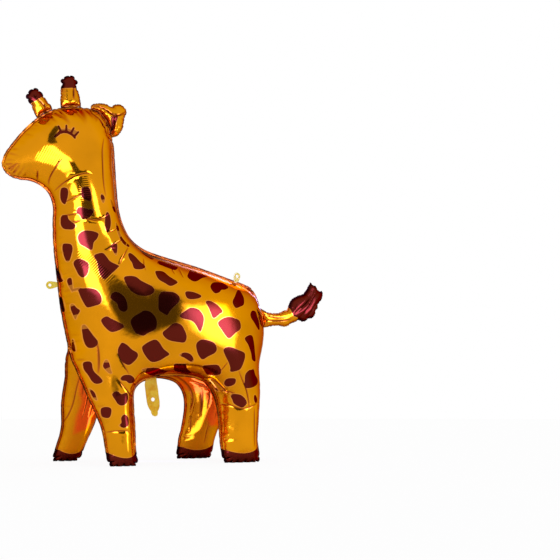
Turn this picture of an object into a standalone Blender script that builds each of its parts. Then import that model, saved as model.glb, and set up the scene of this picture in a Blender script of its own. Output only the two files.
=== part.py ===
"""Giraffe foil balloon, standing on its four legs.

The balloon faces -X, its left flank is at -Y, and it stands on the plane z = 0. Metres, +Z up.
Two side films make the head, neck, trunk and the outer half of each leg. Two inner films make the belly and the
inner half of each leg. Horns, ear and tail are chambers of their own, sealed to the edge of the side films.
"""

import math

import bmesh
import bpy
import numpy as np
from mathutils import Vector
from mathutils.geometry import delaunay_2d_cdt

# The whole figure's height. The outlines below are drawn at OUTLINE_HEIGHT units and scaled to it.
FIGURE_HEIGHT = 0.903
OUTLINE_HEIGHT = 903

# How far the films are blown up: 1 makes a straight tube of film perfectly round.
BODY_FULLNESS = 0.86
LEG_FULLNESS = 0.92
CHAMBER_FULLNESS = 0.80

# How far each film's seam stands from the middle plane, at the belly and at the hooves.
BELLY_SPREAD = 0.074
SPLIT_REACH = 0.160
FOOT_FLARE = 1.3
FRONT_FOOT_SPREAD = 0.152
HIND_FOOT_SPREAD = 0.128

# How far the right front hoof stands ahead of the left one.
FRONT_STRIDE = 0.023

# The sealed edge, and the film as it is drawn here.
SEAM_WIDTH = 0.0050
SEAM_THICKNESS = 0.0014
CHAMBER_SEAM_WIDTH = 0.0035
WELD_GAP = 0.0003
SOLE_CRUSH = 0.0045
INNER_CLEARANCE = 0.0006

# Mesh steps: along a seam, inside a film, and along the small chambers' seams.
SEAM_STEP = 0.0155
LEG_SEAM_STEP = 0.0115
FILM_STEP = 0.0200
CHAMBER_STEP = 0.0080
ROUNDING_DEPTHS = (0.0035, 0.0130)
CHAMBER_DEPTHS = (0.0030,)

# Hanging tabs and the filling tab.
TAB_THICKNESS = 0.0010
HANG_TAB_LENGTH = 0.026
HANG_TAB_WIDTH = 0.018
HANG_TAB_HOLE = 0.0035
FILL_TAB_LENGTH = 0.062
FILL_TAB_WIDTH = 0.032
FILL_TAB_HOLE = 0.0045
FILL_TAB_HOLE_DROP = 0.038
FILL_TIP_LENGTH = 0.015
FILL_TIP_WIDTH = 0.017
FILL_TAB_SLANT = 0.012
HOLE_SIDES = 20

# Colours of the printed foil.
GOLD = (0.80, 0.42, 0.03, 1.0)
CLEAR_GOLD = (0.85, 0.62, 0.20, 1.0)

# Every outline below is in the drawing's units, as (x, z) in the side view.
# The side films, from the split at the rump over the back and head to the split at the chest.
RUMP = [(281, 226), (298, 269), (304, 307), (304, 348), (293, 383), (278, 413), (262, 428)]
BACK = [(208, 443), (168, 454), (113, 468), (32, 485), (-16, 497)]
NAPE = [(-45, 511), (-66, 530), (-82, 558), (-93, 592), (-99, 635), (-104, 689), (-108, 735), (-114, 779)]
CROWN = [(-128, 806), (-147, 824), (-171, 830), (-204, 829), (-241, 821), (-265, 811)]
FOREHEAD = [(-288, 796), (-308, 777), (-330, 752), (-349, 726)]
NOSE = [(-366, 700), (-374, 674), (-369, 658), (-356, 646), (-334, 640)]
THROAT = [(-311, 640), (-291, 635), (-273, 625), (-260, 609), (-252, 583)]
CHEST = [(-252, 546), (-249, 495), (-243, 449), (-237, 406), (-230, 359), (-220, 312), (-208, 262)]

# The legs and the belly, from the chest split to the rump split.
FRONT_LEG_FRONT = [(-207, 234), (-199, 200), (-188, 146), (-178, 113), (-170, 87), (-167, 63), (-167, 40)]
FRONT_LEG_BACK = [(-93, 39), (-86, 86), (-82, 133), (-79, 157), (-72, 172), (-57, 184)]
BELLY = [(-36, 191), (-16, 196), (14, 199), (45, 199), (74, 196)]
HIND_LEG_FRONT = [(100, 187), (119, 165), (128, 136), (129, 94), (125, 52)]
HIND_LEG_BACK = [(228, 51), (237, 86), (254, 134), (275, 183)]
HOOF_CORNER = 26

# The fold in the middle of the inner films, between the splits.
FOLD = [(-176, 240), (-120, 226), (-50, 221), (30, 223), (110, 221), (200, 222)]

# The small chambers: free outlines from one end of the root to the other.
FRONT_HORN = [
    (-263, 824), (-268, 828), (-276, 838), (-281, 845), (-287, 852), (-292, 857), (-304, 859),
    (-315, 851), (-322, 840), (-322, 831), (-316, 823), (-309, 817), (-307, 808), (-302, 798),
]
REAR_HORN = [
    (-190, 837), (-191, 845), (-195, 863), (-201, 873), (-200, 880), (-199, 890), (-206, 899), (-211, 902),
    (-219, 903), (-226, 900), (-235, 895), (-241, 886), (-239, 876), (-241, 865), (-241, 852), (-241, 838),
]
EAR = [
    (-106, 768), (-93, 775), (-83, 793), (-80, 809), (-78, 821), (-74, 832), (-78, 844), (-92, 851),
    (-107, 848), (-114, 842), (-123, 846), (-139, 847), (-156, 844), (-165, 837),
]
TAIL = [
    (310, 329), (323, 331), (346, 335), (366, 333), (380, 336), (391, 343), (403, 347), (411, 352),
    (422, 348), (434, 351), (442, 357), (454, 359), (463, 370), (465, 380), (472, 387), (470, 395),
    (477, 401), (485, 413), (487, 425), (485, 433), (477, 431), (470, 437), (464, 445), (456, 446),
    (449, 454), (442, 445), (436, 434), (424, 421), (411, 417), (397, 410), (386, 401), (380, 387),
    (376, 378), (366, 375), (353, 369), (338, 367), (319, 369), (304, 375),
]
FRONT_HORN_ROOT = ((-261, 817), (-298, 792))
REAR_HORN_ROOT = ((-190, 830), (-241, 821))
EAR_ROOT = ((-109, 768), (-165, 830))
TAIL_ROOT = ((304, 328), (293, 382))
CHEST_TAB_ROOT = (-238, 412)
RUMP_TAB_ROOT = (236, 436)
FILL_TAB_ROOT = (-34, 190)


def clear_scene():
    for old in list(bpy.data.objects):
        bpy.data.objects.remove(old, do_unlink=True)


def metres(points):
    """Points or lengths of the drawing in metres."""
    return np.array(points, float) * FIGURE_HEIGHT / OUTLINE_HEIGHT


def flowing(points, steps=12):
    """A Catmull-Rom curve through open points, as many short chords."""
    ends = np.vstack([2 * points[0] - points[1], points, 2 * points[-1] - points[-2]])
    t = (np.arange(steps) / steps)[:, None]
    pieces = []
    for a, b, c, d in zip(ends, ends[1:], ends[2:], ends[3:]):
        pieces.append(
            0.5 * (2 * b + (c - a) * t + (2 * a - 5 * b + 4 * c - d) * t**2 + (3 * b - a - 3 * c + d) * t**3)
        )
    return np.vstack([*pieces, points[-1:]])


def evenly(line, step):
    """An open line walked in equal steps, both ends kept."""
    lengths = np.concatenate([[0], np.cumsum(np.linalg.norm(np.diff(line, axis=0), axis=1))])
    count = max(1, round(lengths[-1] / step))
    at = np.linspace(0, lengths[-1], count + 1)
    return np.column_stack([np.interp(at, lengths, line[:, k]) for k in (0, 1)])


def sole(front_end, back_start):
    """The rounded corners and flat bottom of a hoof, between its front and back edges."""
    corner = metres(HOOF_CORNER)
    bottom = -SEAM_WIDTH - SOLE_CRUSH
    turn = np.linspace(0, math.pi / 2, 5)[1:]
    across = corner * (1 - np.cos(turn))
    up = bottom + corner * (1 - np.sin(turn))
    front = np.column_stack([front_end[0] + across, up])
    back = np.column_stack([back_start[0] - across, up])[::-1]
    return np.vstack([front, back])


def side_outline():
    """The side film's edge as two lines: over the back from rump to chest, and along legs and belly back to the rump."""
    upper = flowing(metres(RUMP + BACK + NAPE + CROWN + FOREHEAD + NOSE + THROAT + CHEST))
    front_edge = flowing(metres(CHEST[-1:] + FRONT_LEG_FRONT))
    middle = flowing(metres(FRONT_LEG_BACK + BELLY + HIND_LEG_FRONT))
    hind_edge = flowing(metres(HIND_LEG_BACK + RUMP[:1]))
    lower = np.vstack([
        front_edge,
        sole(front_edge[-1], middle[0]),
        middle,
        sole(middle[-1], hind_edge[0]),
        hind_edge,
    ])
    return evenly(upper, SEAM_STEP), evenly(lower, LEG_SEAM_STEP)


def distance_to(points, line):
    """Each point's distance to a polyline, and the share of the way along it of the nearest place."""
    a, b = line[:-1], line[1:]
    span = b - a
    best = np.full(len(points), np.inf)
    place = np.zeros(len(points))
    for k in range(len(a)):
        t = np.clip(((points - a[k]) @ span[k]) / max(span[k] @ span[k], 1e-18), 0, 1)
        d = np.linalg.norm(points - a[k] - t[:, None] * span[k], axis=1)
        closer = d < best
        best[closer] = d[closer]
        place[closer] = k + t[closer]
    return best, place / len(a)


def inside(points, ring):
    """Whether each point is inside a closed ring, by counting crossings."""
    x, z = points[:, 0], points[:, 1]
    found = np.zeros(len(points), bool)
    for (x0, z0), (x1, z1) in zip(ring, np.roll(ring, -1, axis=0)):
        crosses = (z0 > z) != (z1 > z)
        at = x0 + (z - z0) * (x1 - x0) / (z1 - z0 if z1 != z0 else 1e-12)
        found ^= crosses & (x < at)
    return found


def rows_inside(ring, closed, depths, step):
    """Rows of points that follow the ring at each depth, thinned where they crowd."""
    tangent = np.roll(ring, -1, axis=0) - np.roll(ring, 1, axis=0)
    inward = np.column_stack([-tangent[:, 1], tangent[:, 0]])
    inward /= np.linalg.norm(inward, axis=1)[:, None]
    rows = []
    for depth in depths:
        row = ring + inward * depth
        clear = (distance_to(row, closed)[0] > 0.93 * depth) & inside(row, ring)
        kept = []
        for p in row[clear]:
            if all(np.linalg.norm(p - q) > 0.5 * step for q in kept):
                kept.append(p)
        rows.append(np.array(kept).reshape(-1, 2))
    return rows


def net(ring, depths, edge_step, step):
    """A triangle net of the area inside a counterclockwise ring: rows along its edge, then an even lattice."""
    closed = np.vstack([ring, ring[:1]])
    rows = rows_inside(ring, closed, depths, edge_step)
    low, high = ring.min(axis=0), ring.max(axis=0)
    levels = np.arange(low[1], high[1], step * math.sqrt(0.75))
    starts = [low[0] + step / 2 * (k % 2) for k in range(len(levels))]
    lattice = np.array([(x, z) for start, z in zip(starts, levels) for x in np.arange(start, high[0], step)])
    room = distance_to(lattice, closed)[0] > depths[-1] + 0.55 * step
    points = np.vstack([ring, *rows, lattice[room & inside(lattice, ring)]])
    made = delaunay_2d_cdt([Vector(p) for p in points], [], [list(range(len(ring)))], 1, 1e-7)
    return np.array([tuple(p) for p in made[0]]), [tuple(f) for f in made[2]]


def skin(points, triangles, held, values, push):
    """Heights of an even skin held at some points and pushed evenly elsewhere, by one linear solve."""
    count = len(points)
    pull = np.zeros((count, count))
    area = np.zeros(count)
    for corners in triangles:
        for turn in range(3):
            i, j, k = (corners[(turn + step) % 3] for step in range(3))
            u, v = points[i] - points[k], points[j] - points[k]
            twice_area = abs(u[0] * v[1] - u[1] * v[0])
            weight = 0.5 * (u @ v) / twice_area
            pull[i, i] += weight
            pull[j, j] += weight
            pull[i, j] -= weight
            pull[j, i] -= weight
            area[k] += twice_area / 6
    heights = np.where(held, values, 0.0)
    free = ~held
    load = push * area[free] - pull[np.ix_(free, held)] @ heights[held]
    heights[free] = np.linalg.solve(pull[np.ix_(free, free)], load)
    return heights


def puffed(points, triangles, edge_distance, seam_width, held=None):
    """Half the depth of two films sealed along the seam and blown up: the root of an evenly pushed skin."""
    held = edge_distance <= seam_width * 1.001 if held is None else held
    blown = np.sqrt(np.maximum(skin(points, triangles, held, np.zeros(len(points)), 2.0), 0))
    film = SEAM_THICKNESS / 2 * np.clip(edge_distance / seam_width, 0, 1)
    return blown, film


def spread(points):
    """How far the lower seam stands from the middle plane, by its place in the side view."""
    splits = metres([CHEST[-1], RUMP[0]])
    reach = np.min([np.linalg.norm(points - s, axis=1) for s in splits], axis=0)
    opening = BELLY_SPREAD * np.sin(math.pi / 2 * np.clip(reach / SPLIT_REACH, 0, 1))
    belly_level = metres(BELLY)[:, 1].max()
    down = np.clip(1 - points[:, 1] / belly_level, 0, 1)
    foot = np.where(points[:, 0] < metres(BELLY)[2, 0], FRONT_FOOT_SPREAD, HIND_FOOT_SPREAD)
    return opening + (foot - BELLY_SPREAD) * down**FOOT_FLARE


def side_film(upper, lower):
    """The outer film of the +Y side: points in space and triangles."""
    ring = np.vstack([upper[:-1], lower[:-1]])
    depths = [SEAM_WIDTH, *(SEAM_WIDTH + d for d in ROUNDING_DEPTHS)]
    points, triangles = net(ring, depths, LEG_SEAM_STEP, FILM_STEP)
    to_upper = distance_to(points, upper)[0]
    to_lower = distance_to(points, lower)[0]
    edge = np.minimum(to_upper, to_lower)
    in_seam = edge <= SEAM_WIDTH * 1.001
    seam_place = np.where(to_lower <= to_upper, spread(points), 0.0)
    place = skin(points, triangles, in_seam, seam_place, 0.0)
    blown, film = puffed(points, triangles, edge, SEAM_WIDTH)
    legs = np.clip(1 - points[:, 1] / metres(BELLY)[:, 1].max(), 0, 1)
    fullness = BODY_FULLNESS + (LEG_FULLNESS - BODY_FULLNESS) * np.minimum(1, 3 * legs)
    return in_space(points, place + film + fullness * blown), triangles


def inner_film(lower):
    """The inner film of the +Y side, from the lower seam to the fold in the middle plane."""
    fold = evenly(flowing(metres([CHEST[-1], *FOLD, RUMP[0]])), FILM_STEP)
    ring = np.vstack([lower[:-1], fold[:0:-1]])
    depths = [SEAM_WIDTH, *(SEAM_WIDTH + d for d in ROUNDING_DEPTHS)]
    points, triangles = net(ring, depths, LEG_SEAM_STEP, FILM_STEP)
    to_seam = distance_to(points, lower)[0]
    on_fold = distance_to(points, fold)[0] < 1e-6
    in_seam = (to_seam <= SEAM_WIDTH * 1.001) & ~on_fold
    held = in_seam | on_fold
    place = skin(points, triangles, held, np.where(in_seam, spread(points), 0.0), 0.0)
    blown, film = puffed(points, triangles, to_seam, SEAM_WIDTH, held)
    across = np.maximum(place - film - LEG_FULLNESS * blown, INNER_CLEARANCE)
    across[on_fold] = 0
    rim = to_seam < 1e-7
    across[rim] = spread(points[rim])
    return in_space(points, across), triangles


def in_space(points, across):
    """Side-view points and their distance from the middle plane as points in space, flattened where they meet the floor."""
    return np.column_stack([points[:, 0], across, np.maximum(points[:, 1], 0)])


def solid(name, shells, colour, roughness=0.12):
    """One closed mesh from shells of points and triangles, welded where they meet."""
    bm = bmesh.new()
    for points, triangles in shells:
        made = [bm.verts.new(p) for p in points]
        for triangle in triangles:
            bm.faces.new([made[k] for k in triangle])
    bmesh.ops.remove_doubles(bm, verts=bm.verts, dist=1e-6)
    bmesh.ops.recalc_face_normals(bm, faces=bm.faces)
    mesh = bpy.data.meshes.new(name)
    bm.to_mesh(mesh)
    bm.free()
    mesh.shade_smooth()
    mesh.set_sharp_from_angle(angle=math.radians(60))
    made = bpy.data.objects.new(name, mesh)
    bpy.context.scene.collection.objects.link(made)
    made.data.materials.append(foil(name, colour, roughness))
    return made


def foil(name, colour, roughness):
    material = bpy.data.materials.new(name)
    material.use_nodes = True
    shader = material.node_tree.nodes["Principled BSDF"]
    shader.inputs["Base Color"].default_value = colour
    shader.inputs["Roughness"].default_value = roughness
    shader.inputs["Metallic"].default_value = 1.0
    return material


def stepped(points):
    """Points of the +Y side with the right front leg a little ahead, most of all at its hoof."""
    belly = metres(BELLY)
    down = np.clip(1 - points[:, 2] / belly[:, 1].max(), 0, 1)
    front = points[:, 0] < belly[2, 0]
    moved = points.copy()
    moved[:, 0] -= FRONT_STRIDE * front * down**FOOT_FLARE
    return moved


def both_sides(points, triangles):
    """A film of the +Y side, and its mirror image on the -Y side, whose front leg stands further back."""
    return [(stepped(points), triangles), (points * (1, -1, 1), triangles)]


def weld_line(line, first, last):
    """The stretch of a seam nearest two landmarks, moved out by the weld gap, with the middle of each chord added."""
    ends = [int(np.argmin(np.linalg.norm(line - metres(p), axis=1))) for p in (first, last)]
    step = 1 if ends[1] >= ends[0] else -1
    tangent = np.gradient(line, axis=0)
    outward = np.column_stack([tangent[:, 1], -tangent[:, 0]])
    outward /= np.linalg.norm(outward, axis=1)[:, None]
    moved = line + outward * WELD_GAP
    walk = moved[range(ends[0], ends[1] + step, step)]
    middles = (walk[:-1] + walk[1:]) / 2
    joined = np.empty((len(walk) + len(middles), 2))
    joined[0::2], joined[1::2] = walk, middles
    return joined


def chamber(name, seam, root, free_points):
    """A small chamber blown up on its own, its root along the body's seam and the rest of its outline free."""
    root_line = weld_line(seam, *root)
    free = flowing(np.vstack([root_line[:1], metres(free_points), root_line[-1:]]))
    ring = np.vstack([evenly(free, CHAMBER_STEP)[:-1], root_line[:0:-1]])
    depths = [CHAMBER_SEAM_WIDTH, *(CHAMBER_SEAM_WIDTH + d for d in CHAMBER_DEPTHS)]
    points, triangles = net(ring, depths, CHAMBER_STEP, CHAMBER_STEP)
    edge = distance_to(points, np.vstack([ring, ring[:1]]))[0]
    blown, film = puffed(points, triangles, edge, CHAMBER_SEAM_WIDTH)
    across = film + CHAMBER_FULLNESS * blown
    raised = [triangle for triangle in triangles if max(across[k] for k in triangle) > 1e-6]
    return solid(name, both_sides(in_space(points, across), raised), GOLD)


def plate(name, outline, middle_y, hole_at, hole_radius):
    """A flat tab in a plane of constant Y, with a round hole."""
    bm = bmesh.new()
    front = middle_y - TAB_THICKNESS / 2
    face = bm.faces.new([bm.verts.new((x, front, z)) for x, z in outline])
    grown = bmesh.ops.extrude_face_region(bm, geom=[face])
    moved = [v for v in grown["geom"] if isinstance(v, bmesh.types.BMVert)]
    bmesh.ops.translate(bm, verts=moved, vec=(0, TAB_THICKNESS, 0))
    bmesh.ops.recalc_face_normals(bm, faces=bm.faces)
    mesh = bpy.data.meshes.new(name)
    bm.to_mesh(mesh)
    bm.free()
    made = bpy.data.objects.new(name, mesh)
    bpy.context.scene.collection.objects.link(made)
    made.data.materials.append(foil(name, CLEAR_GOLD, 0.2))
    bpy.ops.mesh.primitive_cylinder_add(
        vertices=HOLE_SIDES,
        radius=hole_radius,
        depth=10 * TAB_THICKNESS,
        location=(hole_at[0], middle_y, hole_at[1]),
        rotation=(math.pi / 2, 0, 0),
    )
    cutter = bpy.context.object
    cutter.name = name + "_hole"
    cutter.hide_render = True
    cutter.display_type = "WIRE"
    cut = made.modifiers.new("hole", "BOOLEAN")
    cut.operation = "DIFFERENCE"
    cut.object = cutter
    return made


def hanging_tab(name, seam, landmark):
    """A short rounded tab that stands out of the seam, with a hole for a ribbon."""
    near = int(np.argmin(np.linalg.norm(seam - metres(landmark), axis=1)))
    a, b = seam[near], seam[near + 1]
    along = (b - a) / np.linalg.norm(b - a)
    outward = np.array([along[1], -along[0]])
    foot = (a + b) / 2 + outward * WELD_GAP
    half = HANG_TAB_WIDTH / 2
    turn = np.linspace(0, math.pi, 13)
    straight = HANG_TAB_LENGTH - half
    tip = [foot + outward * (straight + half * math.sin(t)) - along * half * math.cos(t) for t in turn]
    neck = 0.3 * HANG_TAB_WIDTH
    outline = [foot + along * neck, foot - along * neck, *tip]
    return plate(name, outline, 0.0, foot + outward * straight, HANG_TAB_HOLE)


def filling_tab(name, lower, landmark):
    """The flat filling neck that hangs from the near belly seam, with its hole and narrow tip."""
    near = int(np.argmin(np.linalg.norm(lower - metres(landmark), axis=1)))
    level = lower[near - 2 : near + 3, 1].min() - WELD_GAP
    middle_x = lower[near, 0]
    half, tip_half = FILL_TAB_WIDTH / 2, FILL_TIP_WIDTH / 2
    body_end = level - FILL_TAB_LENGTH
    shoulder = half - tip_half
    belly = lower[near - 8 : near + 9]
    belly = belly[np.argsort(belly[:, 0])]
    ends = [middle_x - half * 0.8, middle_x + half * 0.8]
    between = belly[(belly[:, 0] > ends[0] + 0.001) & (belly[:, 0] < ends[1] - 0.001), 0]
    weld = [(x, np.interp(x, belly[:, 0], belly[:, 1]) - WELD_GAP) for x in (ends[1], *between[::-1], ends[0])]
    sides = [
        (-half, level - shoulder), (-half, body_end + shoulder), (-tip_half, body_end),
        (-tip_half, body_end - FILL_TIP_LENGTH + tip_half / 2),
        (-tip_half / 2, body_end - FILL_TIP_LENGTH), (tip_half / 2, body_end - FILL_TIP_LENGTH),
        (tip_half, body_end - FILL_TIP_LENGTH + tip_half / 2), (tip_half, body_end),
        (half, body_end + shoulder), (half, level - shoulder),
    ]
    lean = FILL_TAB_SLANT / (FILL_TAB_LENGTH + FILL_TIP_LENGTH)
    outline = [(middle_x + x + lean * (level - z), z) for x, z in sides] + weld
    across = -float(spread(lower[near : near + 1])[0])
    hole = (middle_x + lean * FILL_TAB_HOLE_DROP, level - FILL_TAB_HOLE_DROP)
    return plate(name, outline, across, hole, FILL_TAB_HOLE)


def centre_over_origin(pieces):
    """Moves the whole figure along X so that the middle of its length stands over the origin."""
    reach = [v.co.x for piece in pieces for v in piece.data.vertices]
    middle = (min(reach) + max(reach)) / 2
    for piece in list(bpy.data.objects):
        piece.location.x -= middle


def main():
    clear_scene()
    upper, lower = side_outline()
    balloon = solid("balloon", both_sides(*side_film(upper, lower)) + both_sides(*inner_film(lower)), GOLD)
    pieces = [
        balloon,
        chamber("front_horn", upper, FRONT_HORN_ROOT, FRONT_HORN),
        chamber("rear_horn", upper, REAR_HORN_ROOT, REAR_HORN),
        chamber("ear", upper, EAR_ROOT, EAR),
        chamber("tail", upper, TAIL_ROOT, TAIL),
        hanging_tab("chest_tab", upper, CHEST_TAB_ROOT),
        hanging_tab("rump_tab", upper, RUMP_TAB_ROOT),
        filling_tab("filling_tab", lower, FILL_TAB_ROOT),
    ]
    centre_over_origin(pieces)


main()
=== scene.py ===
# %% [markdown]
# # A giraffe made of shiny film
#
# The real thing is a party balloon: two printed gold films make the flanks, two plain ones the belly and
# the inner halves of the legs, and everything is heat-sealed at the edges. Gas pushes the films apart, and
# the sealed edge, which can't stretch, gathers into hundreds of small puckers. This lesson rebuilds it in
# that order: flat films, gas, puckers, print, foil.
#
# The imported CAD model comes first. It is the fixed frame that every finer piece below is fitted to.

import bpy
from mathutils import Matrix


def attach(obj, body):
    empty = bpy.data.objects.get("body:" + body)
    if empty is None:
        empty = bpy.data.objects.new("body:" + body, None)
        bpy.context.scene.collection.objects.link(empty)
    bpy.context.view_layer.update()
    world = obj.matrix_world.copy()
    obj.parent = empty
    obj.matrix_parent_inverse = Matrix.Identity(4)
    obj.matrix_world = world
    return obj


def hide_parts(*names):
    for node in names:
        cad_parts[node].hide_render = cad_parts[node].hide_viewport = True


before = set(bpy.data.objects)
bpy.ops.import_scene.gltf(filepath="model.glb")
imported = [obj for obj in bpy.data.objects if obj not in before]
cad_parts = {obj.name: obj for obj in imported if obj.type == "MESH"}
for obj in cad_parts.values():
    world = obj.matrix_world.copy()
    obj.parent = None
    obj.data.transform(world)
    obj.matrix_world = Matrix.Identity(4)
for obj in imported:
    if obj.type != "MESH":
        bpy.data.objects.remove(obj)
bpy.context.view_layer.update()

# %% [markdown]
# The camera stood low, at about the height of the hooves' tops, 2.6 m away and a little ahead of the
# figure. A long lens keeps the legs nearly parallel. Placing it first means that each piece can be judged
# as soon as it is made.

# %% Place the camera
import math

import bmesh
import bpy
import numpy as np
from mathutils import Vector, noise
from mathutils.geometry import delaunay_2d_cdt
from mathutils.kdtree import KDTree

IMAGE_SIDE = 560
FOCAL_PIXELS = 1083.33
SENSOR = 36.0
CAMERA_PLACE = (-1.1140, -2.3752, 0.12)
CAMERA_HEADING = math.radians(-30.7563)
CAMERA_TILT = math.radians(6.8756)


def put(name, data):
    """A new object in the scene."""
    made = bpy.data.objects.new(name, data)
    bpy.context.scene.collection.objects.link(made)
    return made


def place_camera():
    data = bpy.data.cameras.new("camera")
    data.sensor_width = SENSOR
    data.lens = FOCAL_PIXELS * SENSOR / IMAGE_SIDE
    data.clip_start = 0.05
    made = put("camera", data)
    made.location = CAMERA_PLACE
    level = math.cos(CAMERA_TILT)
    aim = Vector((-math.sin(CAMERA_HEADING) * level, math.cos(CAMERA_HEADING) * level, math.sin(CAMERA_TILT)))
    made.rotation_mode = "QUATERNION"
    made.rotation_quaternion = aim.to_track_quat("-Z", "Y")
    bpy.context.scene.camera = made
    return made


camera = place_camera()
print("lens", round(camera.data.lens, 2), "mm")

# %% [markdown]
# A foil balloon starts as a flat cut. The side film's cut is what the side view shows, so its edge is drawn
# as a chain of points in the side view, in millimetres, and smoothed by a Catmull-Rom curve, which goes
# through every point. A Bezier path drawn by hand would do the same, but points in a list are easier to
# correct one by one.

# %% Draw the film's edge
# Lengths in metres. A drawing unit is a millimetre, and the drawing's middle stands over the frame's origin.
DRAWING_UNIT = 0.001
DRAWING_MIDDLE = 0.0565
SEAM_WIDTH = 0.0050
SEAM_THICKNESS = 0.0014
SOLE_CRUSH = 0.0045
HOOF_CORNER = 0.026
UPPER_STEP = 0.0030
LOWER_STEP = 0.0025

RUMP = [(281, 226), (298, 269), (304, 307), (304, 348), (293, 383), (278, 413), (262, 428)]
BACK = [(208, 443), (168, 454), (113, 468), (32, 485), (-16, 497)]
NAPE = [(-45, 511), (-66, 530), (-82, 558), (-93, 592), (-99, 635), (-104, 689), (-108, 735), (-114, 779)]
CROWN = [(-128, 806), (-147, 824), (-171, 830), (-204, 829), (-241, 821), (-265, 811)]
FOREHEAD = [(-288, 796), (-308, 777), (-330, 752), (-349, 726)]
NOSE = [(-366, 700), (-374, 674), (-369, 658), (-356, 646), (-334, 640)]
THROAT = [(-311, 640), (-291, 635), (-273, 625), (-260, 609), (-252, 583)]
CHEST = [(-252, 546), (-249, 495), (-243, 449), (-237, 406), (-230, 359), (-220, 312), (-208, 262)]
FRONT_LEG_FRONT = [(-207, 234), (-199, 200), (-188, 146), (-178, 113), (-170, 87), (-167, 63), (-167, 40)]
FRONT_LEG_BACK = [(-93, 39), (-86, 86), (-82, 133), (-79, 157), (-72, 172), (-57, 184)]
BELLY = [(-36, 191), (-16, 196), (14, 199), (45, 199), (74, 196)]
HIND_LEG_FRONT = [(100, 187), (119, 165), (128, 136), (129, 94), (125, 52)]
HIND_LEG_BACK = [(228, 51), (237, 86), (254, 134), (275, 183)]
FOLD = [(-176, 240), (-120, 226), (-50, 221), (30, 223), (110, 221), (200, 222)]


def metres(points):
    return np.array(points, float) * DRAWING_UNIT


def flowing(points, steps=16):
    """A Catmull-Rom curve through open points, as many short chords."""
    ends = np.vstack([2 * points[0] - points[1], points, 2 * points[-1] - points[-2]])
    t = (np.arange(steps) / steps)[:, None]
    chords = []
    for a, b, c, d in zip(ends, ends[1:], ends[2:], ends[3:]):
        chords.append(
            0.5 * (2 * b + (c - a) * t + (2 * a - 5 * b + 4 * c - d) * t**2 + (3 * b - a - 3 * c + d) * t**3)
        )
    return np.vstack([*chords, points[-1:]])


def runs(line):
    """How far along an open line each of its points is."""
    return np.concatenate([[0], np.cumsum(np.linalg.norm(np.diff(line, axis=0), axis=1))])


def evenly(line, step):
    """An open line walked in equal steps, both ends kept."""
    run = runs(line)
    at = np.linspace(0, run[-1], max(1, round(run[-1] / step)) + 1)
    return np.column_stack([np.interp(at, run, line[:, k]) for k in (0, 1)])


def joined(ring):
    """A closed ring as a line that ends where it starts."""
    return np.vstack([ring, ring[:1]])


def left_of(line):
    """The direction to the left of a line, at each of its points."""
    tangent = np.gradient(line, axis=0)
    side = np.column_stack([-tangent[:, 1], tangent[:, 0]])
    return side / np.linalg.norm(side, axis=1)[:, None]


def sole(front_end, back_start):
    """The rounded corners and flat bottom of a hoof, between its front and back edges."""
    bottom = -SEAM_WIDTH - SOLE_CRUSH
    turn = np.linspace(0, math.pi / 2, 9)[1:]
    across = HOOF_CORNER * (1 - np.cos(turn))
    up = bottom + HOOF_CORNER * (1 - np.sin(turn))
    front = np.column_stack([front_end[0] + across, up])
    back = np.column_stack([back_start[0] - across, up])[::-1]
    return np.vstack([front, back])


def film_edges():
    """The side film's edge: over the back from rump to chest, and along legs and belly back to the rump."""
    upper = flowing(metres(RUMP + BACK + NAPE + CROWN + FOREHEAD + NOSE + THROAT + CHEST))
    front_edge = flowing(metres(CHEST[-1:] + FRONT_LEG_FRONT))
    middle = flowing(metres(FRONT_LEG_BACK + BELLY + HIND_LEG_FRONT))
    hind_edge = flowing(metres(HIND_LEG_BACK + RUMP[:1]))
    lower = np.vstack([
        front_edge,
        sole(front_edge[-1], middle[0]),
        middle,
        sole(middle[-1], hind_edge[0]),
        hind_edge,
    ])
    return evenly(upper, UPPER_STEP), evenly(lower, LOWER_STEP)


upper_edge, lower_edge = film_edges()
for label, edge_line in (("over the back", upper_edge), ("along the legs", lower_edge)):
    print("seam", label, round(runs(edge_line)[-1], 3), "m")
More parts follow.
